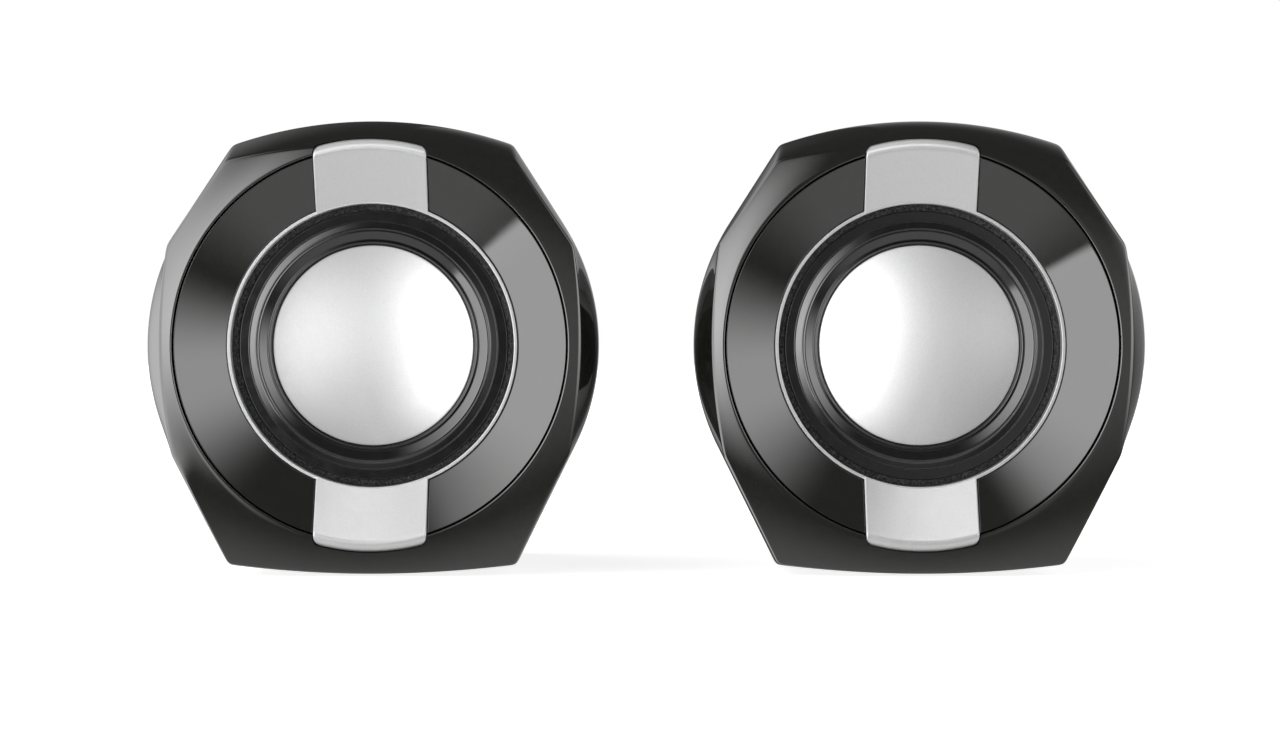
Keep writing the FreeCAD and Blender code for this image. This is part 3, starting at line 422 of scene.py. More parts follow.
def rear_shell(speaker):
    """Matte rear casing with a rounded back edge, screw wells and holes for the cable bushes."""
    wide, back = outline("wide") * SEAM_SHARE * REAR_SHARE, outline("back")
    start = SEAM_DEPTH + SEAM_GAP

    def narrowed(depth, inset=0.0):
        """The casing's outline at a depth, drawn in by inset."""
        share = np.clip((depth - start) / (BACK_DEPTH - start), 0, 1) ** 1.78
        plan = wide + (back - wide) * share
        return plan * (1 - inset / np.linalg.norm(plan, axis=1))[:, None]

    rows = [(narrowed(start, 0.3), start), (narrowed(start, 0.1), start + 0.07),
            (narrowed(start), start + 0.3)]
    for depth in np.linspace(start + 0.8, BACK_DEPTH - BACK_EDGE, 26):
        rows.append((narrowed(depth), depth))
    for angle in np.linspace(0, math.pi / 2, 9)[1:]:
        depth = BACK_DEPTH - BACK_EDGE + BACK_EDGE * math.sin(angle)
        rows.append((narrowed(depth, BACK_EDGE * (1 - math.cos(angle))), depth))
    centre = narrowed(BACK_DEPTH, BACK_EDGE + 3)
    rows += [(narrowed(BACK_DEPTH, BACK_EDGE + 0.6), BACK_DEPTH), (centre * 0.5, BACK_DEPTH)]
    last_outer = len(rows) - 1
    floor = BACK_DEPTH - 2
    rows += [(centre * 0.45, floor), (narrowed(BACK_DEPTH, 4), floor)]
    for depth in np.linspace(BACK_DEPTH - 4, start, 6):
        rows.append((narrowed(depth, 2.1), depth))
    grid = stacked(rows)
    columns = len(wide)
    faces = [face for face in grid_faces(len(grid), columns, True, True) if face[0] // columns != last_outer]
    faces += [grid_cap(last_outer, columns), grid_cap(last_outer + 1, columns, True)]
    shell = new_object(f"{speaker.side}_rear_casing", speaker.world(np.array(grid)), faces)
    for across, up in SCREW_PLACES:
        tube = [(TUBE_RADIUS, start + 2), (TUBE_RADIUS, BACK_DEPTH - 1)]
        combine(shell, turned_about(speaker, "tube", across, up, tube), "UNION")
    for across, up in SCREW_PLACES:
        mouth = rounded([(0.01, WELL_FLOOR), (WELL_RADIUS, WELL_FLOOR), (WELL_RADIUS, BACK_DEPTH, 0.5),
                         (WELL_RADIUS + 2, BACK_DEPTH + 0.2), (0.01, BACK_DEPTH + 2)])
        combine(shell, turned_about(speaker, "well", across, up, mouth), "DIFFERENCE")
    for across, up in cable_holes(speaker):
        hole = [(CABLE_HOLE_RADIUS, BACK_DEPTH - 5), (CABLE_HOLE_RADIUS, BACK_DEPTH + 5)]
        combine(shell, turned_about(speaker, "hole", across, up, hole), "DIFFERENCE")
    return shell


def turned_about(speaker, name, across, up, path, turn=48):
    """A solid turned about a line parallel to the driver's axis, with a flat face at each end of its path."""
    path = np.array(path)
    angles = np.linspace(0, 2 * math.pi, turn, endpoint=False)
    radius, depth = path[:, :1], path[:, 1:]
    rings = (across + radius * np.cos(angles), depth + 0 * angles, up + radius * np.sin(angles))
    faces = grid_faces(len(path), turn, False, True)
    faces += [grid_cap(0, turn), grid_cap(len(path) - 1, turn, True)]
    return new_object(name, speaker.world(np.stack(rings, axis=2)), faces, 30)


# ---------------------------------------------------------------- dish and trim


def cone_depth(radius):
    """Depth of the dish's surface at a radius."""
    fall = (DISH_THROAT_DEPTH - DISH_EDGE_DEPTH) / (DISH_RADIUS - DISH_INNER)
    return DISH_EDGE_DEPTH + (DISH_RADIUS - radius) * fall


def tab_strip(extra):
    """The upright strip that the trim's two tabs fill, grown by extra, as an (across, up) outline."""
    half = TAB_HALF_WIDTH + extra
    quarter = [(half * share, tab_end_up(half * share, extra)) for share in np.linspace(0, 1, 40)]
    right = quarter + [(x, -z) for x, z in reversed(quarter)]
    return right + [(-x, z) for x, z in right[-2:0:-1]]


def tab_end_up(across, extra=0.0):
    """Height of a tab's rounded end at a distance across, for a tab grown by extra."""
    into = max(abs(across) - (TAB_HALF_WIDTH + extra - TAB_CORNER), 0.0)
    corner_drop = TAB_CORNER - math.sqrt(max(TAB_CORNER ** 2 - into ** 2, 0.0))
    return math.sqrt((TAB_END + extra) ** 2 - across ** 2) - corner_drop


def edge_drop(radius, *distances):
    """How far a rounded edge falls back at points that far in from two edges, a number or an array each."""
    short = [np.clip(radius - distance, 0, radius) for distance in distances]
    return radius - np.sqrt(np.maximum(radius ** 2 - np.hypot(*short) ** 2, 0))


def dish(speaker):
    """Glossy conical dish: a plate each side of the tabs, on a ring behind them."""
    slot = TAB_HALF_WIDTH + TAB_GAP
    radii = DISH_INNER + (DISH_RADIUS - DISH_INNER) * crowded(40, 2.4)
    shares = 2 * crowded(150, 2.2) - 1
    pieces = []
    for direction in (1, -1):
        top = np.zeros((len(radii), len(shares), 3))
        bottom = np.zeros_like(top)
        for row, radius in enumerate(radii):
            angles = math.acos(slot / radius) * shares
            across, up = radius * np.cos(angles), radius * np.sin(angles)
            drop = edge_drop(DISH_EDGE, across - slot, min(radius - DISH_INNER, DISH_RADIUS - radius))
            depth = cone_depth(radius)
            top[row] = np.stack((direction * across, depth + drop, up), axis=1)
            bottom[row] = np.stack((direction * across, 0 * drop + depth + DISH_SKIN, up), axis=1)
        pieces.append(slab("plate", speaker.world(top), speaker.world(bottom)))
    front, back = DISH_SKIN + 0.02, DISH_THICKNESS
    base = [(radius, cone_depth(radius) + behind) for radius, behind in (
        (DISH_RADIUS, front), (DISH_INNER, front), (DISH_INNER, back), (DISH_RADIUS, back))]
    pieces.append(turned(speaker, "base", np.array(base)))
    return join(f"{speaker.side}_dish_plates", pieces)


def tab_face(radius):
    """Depth of the tab's front at a radius: along the dish, round the fold and down into the notch."""
    low, high = 20.0, TAB_END + 3  # radii past both ends of the tab
    path = rounded([(low, 5.2 + 5.2 * 0.587), (TAB_FOLD, TAB_FOLD_DEPTH, 0.85),
                    (high, TAB_FOLD_DEPTH + 4.9 * 0.58), (30, 20)], 10)[:-1]
    return np.interp(radius, path[:, 0], path[:, 1])


def trim(speaker):
    """Silver ring round the driver, with a tab above and a tab below folded over the dish's rim."""
    outer = DISH_INNER - 0.04
    path = rounded([(RING_INNER, RING_BACK), (RING_INNER, RING_FRONT, 0.12),
                    (outer, RING_FRONT, 0.08), (outer, RING_BACK)], 7)
    ring = turned(speaker, f"{speaker.side}_trim_ring", path)
    before_fold = 0.82
    lengths = np.concatenate([np.linspace(0, before_fold, 40)[:-1],
                              before_fold + (1 - before_fold) * crowded(40, 1.6)])
    shares = 2 * crowded(80, 2.2) - 1
    for direction in (1, -1):
        top = np.zeros((len(lengths), len(shares), 3))
        bottom = np.zeros_like(top)
        for column, share in enumerate(shares):
            across = TAB_HALF_WIDTH * share
            reach = math.hypot(across, tab_end_up(across))
            radii = TAB_ROOT + (reach - TAB_ROOT) * lengths
            up = np.sqrt(radii ** 2 - across ** 2)
            drop = edge_drop(TAB_EDGE, reach - radii, TAB_HALF_WIDTH - abs(across))
            floor = np.where(radii > RIM_RADIUS, TAB_DEPTH, 0)
            below = np.maximum(cone_depth(radii) + DISH_SKIN - 0.05, floor)
            top[:, column] = np.stack((across + 0 * up, tab_face(radii) + drop, direction * up), axis=1)
            bottom[:, column] = np.stack((across + 0 * up, below, direction * up), axis=1)
        combine(ring, slab("tab", speaker.world(top), speaker.world(bottom)), "UNION")
    ring.name = ring.data.name = f"{speaker.side}_trim_band"
    return ring


# ---------------------------------------------------------------- driver


def gasket(speaker):
    """Foam ring with a grainy cut face that slopes towards the cone."""
    inner, outer = GASKET_INNER, speaker.radius("gasket")
    front, back = speaker.depth("gasket"), speaker.depth("gasket", 1)
    fall, edge = 0.6 * (back - front), 0.1
    path = rounded([(inner, back), (inner, front + fall, edge), (outer, front, edge), (outer, back)])
    inside, outside = 7, 9  # where the two rounded edges meet the face between them
    face = straight(path[inside], path[outside], 30)
    path = np.vstack([path[:inside + 1], face[1:-1], path[outside:]])
    ring = turned(speaker, f"{speaker.side}_gasket_ring", path, turn=1500)
    grain = np.random.default_rng(11)
    pits = grain.random(len(ring.data.vertices)) ** 3
    for vertex, pit in zip(ring.data.vertices, pits):
        across, _, up = (np.array(vertex.co) - speaker.origin) / MM
        if inner + edge < math.hypot(across, up) < outer - edge:
            vertex.co.y += MM * PIT_DEPTH * pit
    return ring


def surround(speaker):
    """Rubber suspension: bead, groove, roll with a long inner flank, sloping shelf and flat outer land."""
    inner, outer = SURROUND_INNER, speaker.radius("surround")
    back = speaker.depth("surround", 1)
    cone_back = back - 0.2
    path = rounded([
        (inner, 8.25, 0.08), (18.12, 8.25, 0.05), (18.45, 8.0, 0.12), (18.8, 8.3, 0.1), (18.95, 8.3, 0.08),
        (20.4, 7.42, 0.3), (20.95, 7.8, 0.2), (22.05, 8.06, 0.15), (22.2, 8.28, 0.1), (outer, 8.28, 0.12),
        (outer, back), (22.5, back), (21.9, 8.46), (20.95, 8.25), (20.4, 7.9), (19.1, cone_back),
        (inner, cone_back)], 9)
    ring = turned(speaker, f"{speaker.side}_suspension", path)
    blend_outwards(ring, speaker, 22.5)
    return ring


def spider(speaker):
    """Corrugated cloth disc that centres the coil, flat at its inner and outer edges."""
    inner, outer = SPIDER_INNER, speaker.radius("spider")
    back = speaker.depth("spider", 1)
    cloth, crest, waves = 0.35, 0.5, 4
    hem, land = 0.6, 1.4  # width of the flat inner and outer edges
    radius = np.linspace(inner, outer, 120)
    share = np.clip((radius - inner - hem) / (outer - inner - hem - land), 0, 1)
    rise = crest * (1 - np.cos(2 * math.pi * waves * share)) / 2
    front = np.stack((radius, back - cloth - rise), axis=1)
    under = np.stack((radius, back - rise), axis=1)[::-1]
    disc = turned(speaker, f"{speaker.side}_centring_disc", np.vstack([front, under]), turn=160)
    blend_outwards(disc, speaker, outer - land)
    return disc


def blend_outwards(obj, speaker, outer):
    """Bake a ring's transform into its mesh and read out its points; the ring is left on no body and does not
    bend.
    """
    start = tuple(speaker.world((0, 0, 0)))
    end = tuple(speaker.world((outer, 0, 0)))
    speaker.body()
    speaker.body(True)
    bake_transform(obj)
    count = len(obj.data.vertices)
    places = np.zeros(count * 3)
    obj.data.vertices.foreach_get("co", places)


def dust_cap(speaker):
    """Large domed cap with a rolled edge."""
    radius = speaker.radius("dust_cap")
    apex, foot = speaker.depth("dust_cap"), speaker.depth("dust_cap", 1)
    edge, half_way = radius - 0.12, (radius - 0.12) / 2
    dome = arc((edge, CAP_EDGE_DEPTH), (half_way, dome_depth(half_way, radius, apex)), (0, apex), 60)[::-1]
    dome[0, 0] = 0
    roll = [np.array((radius, CAP_EDGE_DEPTH + behind)) for behind in (0.08, 0.3)]
    rim = bend(dome[-1], *roll, 4)[1:]
    under = dome[::-1] + (0, CAP_WALL)
    inner = radius - 0.35
    path = np.vstack([dome, rim, [(radius, foot), (inner, foot), (inner, CAP_EDGE_DEPTH + 0.35)], under[2:]])
    return turned(speaker, f"{speaker.side}_cap", path, ends_meet=False)


def dome_depth(radius, edge_radius, apex):
    """Depth of a spherical dome at a radius."""
    height = CAP_EDGE_DEPTH - apex
    sphere = (edge_radius ** 2 + height ** 2) / (2 * height)
    return apex + sphere - math.sqrt(sphere ** 2 - radius ** 2)


# ---------------------------------------------------------------- rear details


def foot_pads(speaker):
    """Four soft-edged rubber pads, at the corners of the CAD feet's box."""
    low, high = [(np.array(corner) - speaker.origin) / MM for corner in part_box(f"{speaker.side}_feet")]
    path = rounded([(0.0, low[2]), (FOOT_RADIUS, low[2], 0.35), (FOOT_RADIUS, high[2]), (0.0, high[2])])
    turn = 64
    angles = np.linspace(0, 2 * math.pi, turn, endpoint=False)
    faces = grid_faces(len(path), turn, False, True)
    pads = []
    for depth in (low[1] + FOOT_RADIUS, high[1] - FOOT_RADIUS):
        for across in (low[0] + FOOT_RADIUS, high[0] - FOOT_RADIUS):
            points = [[(across + radius * math.cos(angle), depth + radius * math.sin(angle), up)
                       for angle in angles] for radius, up in path]
            pads.append(new_object("pad", speaker.world(points), faces))
    return join(f"{speaker.side}_foot_pads", pads)


def cable_holes(speaker):
    """Where the cable bushes go through the back, as (across, up)."""
    holes = []
    for name in frame["nodes"]:
        if name.startswith(speaker.side) and name.endswith("_bush"):
            middle = np.mean([tuple(corner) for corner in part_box(name)], axis=0)
            holes.append(tuple((middle - speaker.origin)[[0, 2]] / MM))
    return holes


def build(speaker):
    """Make the remade pieces of one speaker, in the place of their CAD nodes; the still and moving ones go on
    their bodies.
    """
    still = [
        (front_shell(speaker), "front_shell", "gloss_black"),
        (rear_shell(speaker), "rear_shell", "matte_black"),
        (dish(speaker), "dish", "dish_black"),
        (trim(speaker), "trim", "silver_trim"),
        (gasket(speaker), "gasket", "foam_black"),
        (foot_pads(speaker), "feet", "foot_rubber"),
    ]
    moving = [(dust_cap(speaker), "dust_cap", "dome_silver")]
    blended = [(surround(speaker), "surround", "rubber_black"), (spider(speaker), "spider", "spider_cloth")]
    for piece, _, _ in still:
        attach(piece, speaker.body())
    for piece, _, _ in moving:
        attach(piece, speaker.body(True))
    for piece, node, slot in still + moving + blended:
        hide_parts(f"{speaker.side}_{node}")
        dress(piece, slot)


# ---------------------------------------------------------------- materials


class Shader:
    """A material's node tree, with short calls to add and join its nodes."""

    def __init__(self, name):
        self.material = bpy.data.materials.new(name)
        self.material.use_nodes = True
        self.nodes = self.material.node_tree.nodes
        self.links = self.material.node_tree.links
        self.surface = self.nodes["Principled BSDF"]
        self.place = self.nodes.new("ShaderNodeTexCoord").outputs["Object"]

    def set(self, **values):
        """Set sockets of the surface; an underscore in a name stands for a space."""
        for name, value in values.items():
            self.surface.inputs[name.replace("_", " ")].default_value = value

    def texture(self, kind, scale, stretch=(1, 1, 1)):
        """A texture node over the object's own millimetres, scale of its grains to each."""
        mapping = self.nodes.new("ShaderNodeMapping")
        mapping.inputs["Scale"].default_value = [share * scale / MM for share in stretch]
        self.links.new(self.place, mapping.inputs["Vector"])
        node = self.nodes.new(kind)
        node.inputs["Scale"].default_value = 1.0
        self.links.new(mapping.outputs["Vector"], node.inputs["Vector"])
        return node

    def noise(self, scale, detail=4.0, roughness=0.5, stretch=(1, 1, 1)):
        """Cloudy noise."""
        node = self.texture("ShaderNodeTexNoise", scale, stretch)
        node.inputs["Detail"].default_value = detail
        node.inputs["Roughness"].default_value = roughness
        return node.outputs["Fac"]

    def cells(self, scale, feature="F1"):
        """A pattern of cells: the distance to the nearest cell's point."""
        node = self.texture("ShaderNodeTexVoronoi", scale)
        node.feature = feature
        return node.outputs["Distance"]

    def ramp(self, value, stops):
        """A value looked up between (position, grey or colour) stops."""
        node = self.nodes.new("ShaderNodeValToRGB")
        elements = node.color_ramp.elements
        while len(elements) < len(stops):
            elements.new(0.5)
        for element, (position, colour) in zip(elements, stops):
            element.position = position
            element.color = (*colour, 1) if isinstance(colour, tuple) else (colour, colour, colour, 1)
        self.links.new(value, node.inputs["Fac"])
        return node.outputs["Color"]

    def into(self, value, socket):
        """Join an output to a socket of the surface."""
        self.links.new(value, self.surface.inputs[socket])

    def bump(self, value, height, strength=1.0):
        """Raise the surface by height millimetres where value is 1, on top of earlier bumps."""
        node = self.nodes.new("ShaderNodeBump")
        node.inputs["Distance"].default_value = height * MM
        node.inputs["Strength"].default_value = strength
        self.links.new(value, node.inputs["Height"])
        if self.surface.inputs["Normal"].is_linked:
            self.links.new(self.surface.inputs["Normal"].links[0].from_socket, node.inputs["Normal"])
        self.links.new(node.outputs["Normal"], self.surface.inputs["Normal"])


def gloss_black(name="gloss_black", ripple=0.012):
    """Polished black plastic with a faint moulding ripple and a little dust and handling in its polish."""
    shader = Shader(name)
    shader.set(IOR=2.0)
    dark, light = (0.0062, 0.0062, 0.0054), (0.0092, 0.0092, 0.008)
    shader.into(shader.ramp(shader.noise(0.9, 5.0), [(0.3, dark), (0.7, light)]), "Base Color")
    haze = shader.noise(0.16, 6.0, 0.62)
    shader.into(shader.ramp(haze, [(0.35, 0.035), (0.72, 0.075)]), "Roughness")
    shader.bump(shader.noise(0.11, 1.0), ripple)
    return shader.material


def dish_black():
    """The dish's black plastic, polished like the casing."""
    return gloss_black("dish_black", 0.01)


def matte_black():
    """Spark-textured black plastic."""
    shader = Shader("matte_black")
    shader.into(shader.ramp(shader.noise(0.5), [(0.3, 0.011), (0.7, 0.019)]), "Base Color")
    shader.into(shader.ramp(shader.noise(2.0), [(0.3, 0.48), (0.7, 0.62)]), "Roughness")
    shader.bump(shader.cells(2.6, "SMOOTH_F1"), 0.05, 0.7)
    shader.bump(shader.noise(6.0), 0.02, 0.6)
    return shader.material


def silver(name, dark, light, rough):
    """Silver paint with fine metal flake."""
    shader = Shader(name)
    shader.set(Metallic=0.7)
    shader.into(shader.ramp(shader.cells(9.0), [(0.1, light), (0.75, dark)]), "Base Color")
    shader.into(shader.ramp(shader.noise(0.7, 5.0), [(0.3, rough[0]), (0.7, rough[1])]), "Roughness")
    shader.bump(shader.noise(7.0, 3.0), 0.012, 0.8)
    return shader.material


def silver_trim():
    """The trim's satin silver."""
    return silver("silver_trim", (0.66, 0.66, 0.665), (0.78, 0.78, 0.785), (0.34, 0.40))


def dome_silver():
    """The dust caps' softer silver."""
    return silver("dome_silver", (0.45, 0.45, 0.455), (0.55, 0.55, 0.555), (0.50, 0.56))


def plain(name, dark, light, rough, grain=1.5, height=0.02, metallic=0.0):
    """A mottled finish: colour between dark and light, roughness between two values, fine bump."""
    shader = Shader(name)
    shader.set(Metallic=metallic)
    shader.into(shader.ramp(shader.noise(grain), [(0.3, dark), (0.7, light)]), "Base Color")
    shader.into(shader.ramp(shader.noise(grain * 0.6, 5.0), [(0.3, rough[0]), (0.7, rough[1])]), "Roughness")
    shader.bump(shader.noise(grain * 3), height)
    return shader.material


def rubber_black():
    """Butyl rubber with a soft sheen and fine dust."""
    shader = Shader("rubber_black")
    shader.set(IOR=1.95)
    shader.into(shader.ramp(shader.noise(0.7, 4.0), [(0.35, 0.0025), (0.75, 0.005)]), "Base Color")
    shader.into(shader.ramp(shader.noise(0.5, 5.0), [(0.3, 0.10), (0.7, 0.16)]), "Roughness")
    shader.bump(shader.noise(0.6, 2.0), 0.005, 0.5)
    return shader.material


def foam_black():
    """Black foam with open cells and pale specks."""
    shader = Shader("foam_black")
    shader.set(Specular_IOR_Level=0.2)
    shader.into(shader.ramp(shader.noise(3.2, 3.0, 0.7), [(0.4, 0.006), (0.75, 0.09)]), "Base Color")
    shader.into(shader.ramp(shader.cells(4.0), [(0.1, 0.95), (0.7, 0.6)]), "Roughness")
    shader.bump(shader.cells(3.5), 0.1)
    return shader.material


def copper():
    """Wound enamelled wire: ridges along the driver's axis."""
    shader = Shader("copper")
    shader.set(Metallic=0.9)
    dark, light = (0.52, 0.19, 0.07), (0.68, 0.28, 0.12)
    shader.into(shader.ramp(shader.noise(0.8), [(0.3, dark), (0.7, light)]), "Base Color")
    shader.into(shader.ramp(shader.noise(2.0), [(0.3, 0.25), (0.7, 0.4)]), "Roughness")
    shader.bump(shader.noise(1.0, 0.0, 0.5, (0.05, 5, 0.05)), 0.06)
    return shader.material


def steel_black():
    """Black-painted pressed steel."""
    return plain("steel_black", 0.012, 0.024, (0.4, 0.55), metallic=0.3)


def paper_black():
    """The cone's black paper."""
    return plain("paper_black", 0.012, 0.03, (0.8, 0.95), 2.0, 0.06)


def former_paper():
    """Brown paper of the coil's former."""
    return plain("former_paper", (0.42, 0.27, 0.12), (0.55, 0.36, 0.18), (0.6, 0.75), 1.2, 0.03)


def spider_cloth():
    """Resin-stiffened cloth of the spider."""
    return plain("spider_cloth", (0.50, 0.34, 0.12), (0.66, 0.47, 0.2), (0.8, 0.95), 3.0, 0.09)


def zinc_steel():
    """Zinc-plated steel of the magnet's plates."""
    return plain("zinc_steel", (0.55, 0.56, 0.58), (0.7, 0.71, 0.72), (0.28, 0.42), 0.6, 0.01, 1.0)


def ferrite():
    """Dark sintered ferrite."""
    return plain("ferrite", 0.03, 0.055, (0.55, 0.8), 1.4, 0.05)


def strip_board():
    """Brown laminate of the terminal strip."""
    return plain("strip_board", (0.20, 0.10, 0.04), (0.28, 0.15, 0.07), (0.5, 0.65), 2.0)


def tin():
    """Tinned solder tags."""
    return plain("tin", (0.6, 0.6, 0.58), (0.75, 0.75, 0.73), (0.25, 0.4), 1.0, 0.02, 1.0)


def screw_steel():
    """Steel of the screws, darker than the magnet's plates."""
    return plain("screw_steel", (0.3, 0.3, 0.31), (0.42, 0.42, 0.43), (0.25, 0.4), 1.5, 0.01, 1.0)


def foot_rubber():
    """Matt rubber of the feet."""
    return plain("foot_rubber", 0.012, 0.022, (0.7, 0.85), 1.8, 0.04)


def bush_rubber():
    """Slightly smoother rubber of the cable bushes."""
    return plain("bush_rubber", 0.014, 0.024, (0.5, 0.65), 1.2, 0.03)


def board_green():
    """Solder-resist green of the amplifier's board."""
    return plain("board_green", (0.01, 0.11, 0.05), (0.015, 0.16, 0.07), (0.3, 0.4), 0.8, 0.02)


def chip_black():
    """Moulded epoxy of the amplifier's chip."""
    return plain("chip_black", 0.015, 0.025, (0.55, 0.7), 3.0)


def spreader_aluminium():
    """Bare aluminium of the heat spreader."""
    return plain("spreader_aluminium", 0.6, 0.75, (0.3, 0.45), 0.9, 0.01, 1.0)


def can_sleeve():
    """Dark blue sleeve of the capacitors."""
    return plain("can_sleeve", (0.02, 0.03, 0.09), (0.03, 0.045, 0.13), (0.3, 0.4), 0.9)


def socket_white():
    """Off-white nylon of the lead socket."""
    return plain("socket_white", (0.68, 0.66, 0.6), (0.76, 0.74, 0.68), (0.4, 0.5), 1.2)


def lead_sleeve():
    """Red sleeve of the leads."""
    return plain("lead_sleeve", (0.28, 0.01, 0.01), (0.42, 0.02, 0.015), (0.35, 0.5), 1.0)


FINISHES = {finish.__name__: finish for finish in (
    gloss_black, dish_black, matte_black, silver_trim, dome_silver, rubber_black, foam_black,
    copper, steel_black, paper_black, former_paper, spider_cloth, zinc_steel, ferrite, strip_board,
    tin, screw_steel, foot_rubber, bush_rubber, board_green, chip_black, spreader_aluminium,
    can_sleeve, socket_white, lead_sleeve)}
made = {}  # finished materials by slot


def finish_named(slot):
    """The material of a slot, made once."""
    if slot not in made:
        made[slot] = FINISHES[slot]()
    return made[slot]


def dress(obj, slot):
    """Give a piece its slot's material."""
    obj.data.materials.clear()
    obj.data.materials.append(finish_named(slot))


def dress_cad():
    """Give every CAD node the material of its own slot."""
    for obj in frame["nodes"].values():
        slot = obj.data.materials[0].name.split(".")[0]
        for place in obj.material_slots:
            place.material = finish_named(slot)


# ---------------------------------------------------------------- studio


class Surroundings:
    """What the pair stands in: white to the camera, and soft boxes of light for everything else.

    Directions are in degrees: azimuth 0 straight in front and growing to the right, elevation 0 level.
    """

    def __init__(self):
        world = bpy.data.worlds.new("white_room")
        bpy.context.scene.world = world
        world.use_nodes = True
        self.nodes, self.links = world.node_tree.nodes, world.node_tree.links
        direction = self.nodes.new("ShaderNodeTexCoord").outputs["Generated"]
        split = self.nodes.new("ShaderNodeSeparateXYZ")
        self.links.new(direction, split.inputs["Vector"])
        towards_camera = self.math("MULTIPLY", split.outputs["Y"], -1.0)
        self.azimuth = self.math("DEGREES", self.math("ARCTAN2", split.outputs["X"], towards_camera))
        self.elevation = self.math("DEGREES", self.math("ARCSINE", split.outputs["Z"]))
        self.total = None

    def math(self, operation, *values):
        """The result of a calculation on numbers and outputs."""
        node = self.nodes.new("ShaderNodeMath")
        node.operation = operation
        for value, socket in zip(values, node.inputs):
            if isinstance(value, (int, float)):
                socket.default_value = value
            else:
                self.links.new(value, socket)
        return node.outputs["Value"]

    def edge(self, value, dark, bright):
        """A soft edge: 0 at dark, 1 at bright."""
        node = self.nodes.new("ShaderNodeMapRange")
        node.interpolation_type = "SMOOTHSTEP"
        node.inputs["From Min"].default_value = dark
        node.inputs["From Max"].default_value = bright
        self.links.new(value, node.inputs["Value"])
        return node.outputs["Result"]

    def panel(self, strength, left, right, low, high, slant=0.0):
        """A box of light with four soft edges, each from dark to bright.

        Its low edge rises by slant degrees for each degree to the right.
        """
        slanted = self.math("SUBTRACT", self.elevation, self.math("MULTIPLY", self.azimuth, slant))
        shape = self.math("MULTIPLY", self.edge(self.azimuth, *left), self.edge(self.azimuth, *right))
        shape = self.math("MULTIPLY", shape, self.edge(slanted, *low))
        shape = self.math("MULTIPLY", shape, self.edge(self.elevation, *high))
        self.add(self.math("MULTIPLY", shape, strength))

    def add(self, value):
        """Add to the light, everywhere or by the shape of an output."""
        self.total = value if self.total is None else self.math("ADD", self.total, value)

    def finish(self, seen_by_camera):
        """Join the light up; the camera itself sees an even white of that strength."""
        glow = self.nodes["Background"]
        self.links.new(self.total, glow.inputs["Strength"])
        seen = self.nodes.new("ShaderNodeBackground")
        seen.inputs["Strength"].default_value = seen_by_camera
        for node in (glow, seen):
            node.inputs["Color"].default_value = (1, 1, 1, 1)
        path = self.nodes.new("ShaderNodeLightPath")
        mix = self.nodes.new("ShaderNodeMixShader")
        self.links.new(path.outputs["Is Camera Ray"], mix.inputs["Fac"])
        self.links.new(glow.outputs["Background"], mix.inputs[1])
        self.links.new(seen.outputs["Background"], mix.inputs[2])
        self.links.new(mix.outputs["Shader"], self.nodes["World Output"].inputs["Surface"])


def room():
    """A large soft box at the left, a smaller one at the right, a dim room and a pale desk below."""
    studio = Surroundings()
    studio.add(0.09)
    # the large box: its far part ends sharply below, its near part is brighter and softer
    studio.panel(2.6, left=(-176, -104), right=(-26, -44), low=(3.0, 7.0), high=(68, 20), slant=0.65)
    studio.panel(4.2, left=(-46, -26), right=(-7, -22), low=(-19, 4), high=(40, 2))
    # the smaller box
    studio.panel(2.2, left=(32, 52), right=(104, 84), low=(-22, 6), high=(44, 13))
    # light that the desk gives back, and the room in front
    studio.panel(0.42, left=(-181, -180), right=(181, 180), low=(-91, -90), high=(-20, -44))
    studio.panel(0.3, left=(0, 12), right=(60, 30), low=(-24, -2), high=(22, 2))
    # soft light from behind at the right
    studio.panel(0.35, left=(104, 130), right=(181, 180), low=(-20, 5), high=(60, 20))
    studio.finish(seen_by_camera=1.0)


def soft_lamp(name, place, aim, size, power, pieces):
    """A rectangular lamp, width and height in metres, that lights only the given pieces."""
    data = bpy.data.lights.new(name, "AREA")
    data.shape = "RECTANGLE"
    data.size, data.size_y = size
    data.energy = power
    lamp = bpy.data.objects.new(name, data)
    bpy.context.scene.collection.objects.link(lamp)
    lamp.location = place
    lamp.rotation_mode = "QUATERNION"
    lamp.rotation_quaternion = (Vector(aim) - Vector(place)).to_track_quat("-Z", "Y")
    lamp.visible_camera = False
    lit = bpy.data.collections.new(f"{name}_lit")
    for piece in pieces:
        lit.objects.link(piece)
    lamp.light_linking.receiver_collection = lit


def rear_lamps():
    """Two large lamps behind the pair, for the rear casings, feet, cable bushes and screws."""
    words = ("rear_casing", "foot_pads", "bush", "screws")
    pieces = [obj for obj in bpy.context.scene.objects if any(word in obj.name for word in words)]
    for name, across in (("rear_left_lamp", -0.5), ("rear_right_lamp", 0.5)):
        soft_lamp(name, (across, 0.6, 0.35), (0, 0, 0.04), size=(0.5, 0.6), power=6.0, pieces=pieces)


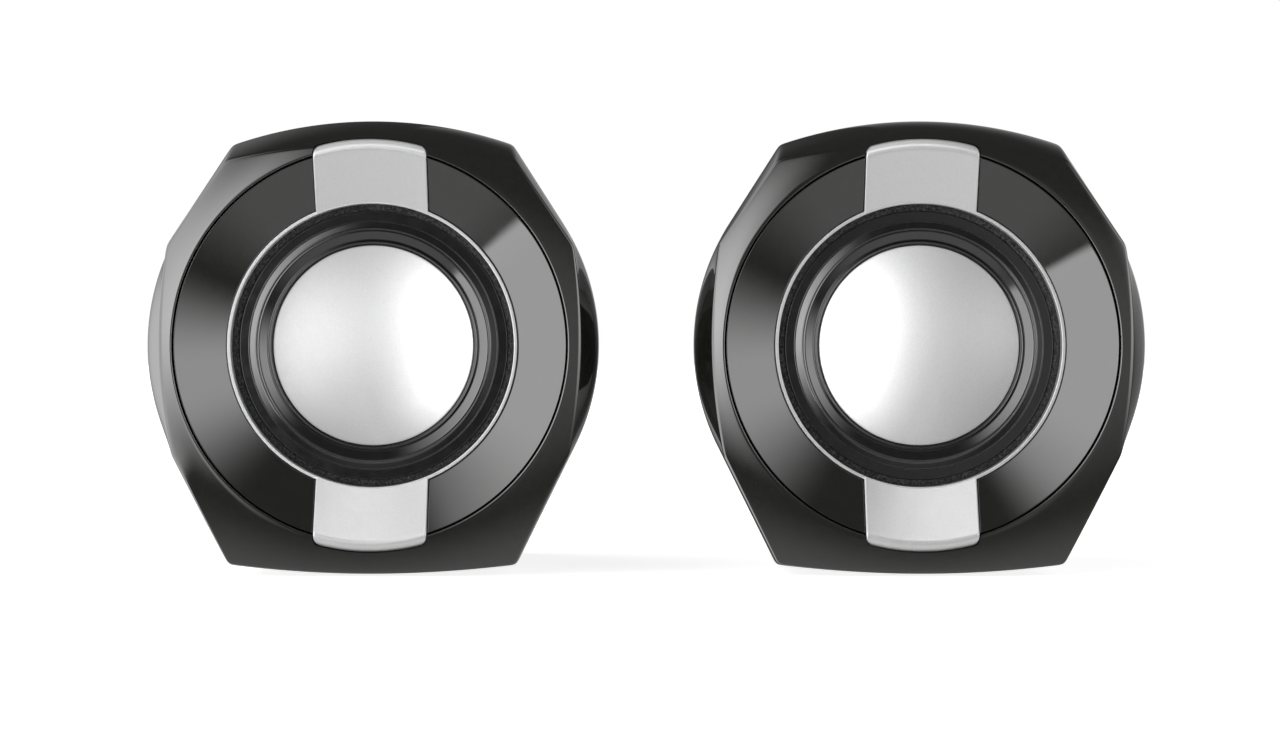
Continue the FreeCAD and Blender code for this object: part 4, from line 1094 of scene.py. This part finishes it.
def silver_lamps(speakers):
    """A tall lamp between the speakers for each dust cap, and a weak one overhead for each trim."""
    for speaker, inwards in zip(speakers, (1, -1)):
        cap = bpy.data.objects[f"{speaker.side}_cap"]
        band = bpy.data.objects[f"{speaker.side}_trim_band"]
        middle = Vector(speaker.origin)
        beside = middle + Vector((inwards * 0.27, -0.3, 0.0))
        above = middle + Vector((0, -0.3, 0.35))
        soft_lamp(f"{speaker.side}_cap_lamp", beside, middle, size=(0.28, 0.7), power=5.0, pieces=[cap])
        soft_lamp(f"{speaker.side}_trim_lamp", above, middle, size=(0.25, 0.25), power=0.3, pieces=[band])


def desk():
    """Pale matt desk top, which glossy surfaces don't mirror."""
    half = 6.0
    corners = [(-half, -half, 0), (half, -half, 0), (half, half, 0), (-half, half, 0)]
    mesh = bpy.data.meshes.new("desk")
    mesh.from_pydata(corners, [], [(0, 1, 2, 3)])
    floor = bpy.data.objects.new("desk", mesh)
    bpy.context.scene.collection.objects.link(floor)
    shader = Shader("desk_white")
    shader.set(Base_Color=(0.9, 0.9, 0.9, 1), Roughness=0.9, Specular_IOR_Level=0.1)
    shader.set(Emission_Color=(1, 1, 1, 1), Emission_Strength=0.8)
    mesh.materials.append(shader.material)
    floor.visible_glossy = False


def camera(speaker):
    """A longish lens level with the drivers, midway between the speakers."""
    _, rim, height = speaker.origin
    distance = 0.560
    data = bpy.data.cameras.new("camera")
    view = bpy.data.objects.new("camera", data)
    bpy.context.scene.collection.objects.link(view)
    view.location = (0, rim - distance, height)
    view.rotation_euler = (math.pi / 2, 0, 0)
    data.sensor_width = 36
    data.lens = 89.7
    data.shift_x, data.shift_y = -0.0049, -0.0200  # the photo's pair is a little right and high
    data.clip_start, data.clip_end = 0.05, 50
    bpy.context.scene.camera = view


dress_cad()
speakers = [Speaker(side) for side in SIDES]
for speaker in speakers:
    build(speaker)
room()
desk()
silver_lamps(speakers)
rear_lamps()
camera(speakers[0])
bpy.context.scene.view_settings.view_transform = "Standard"
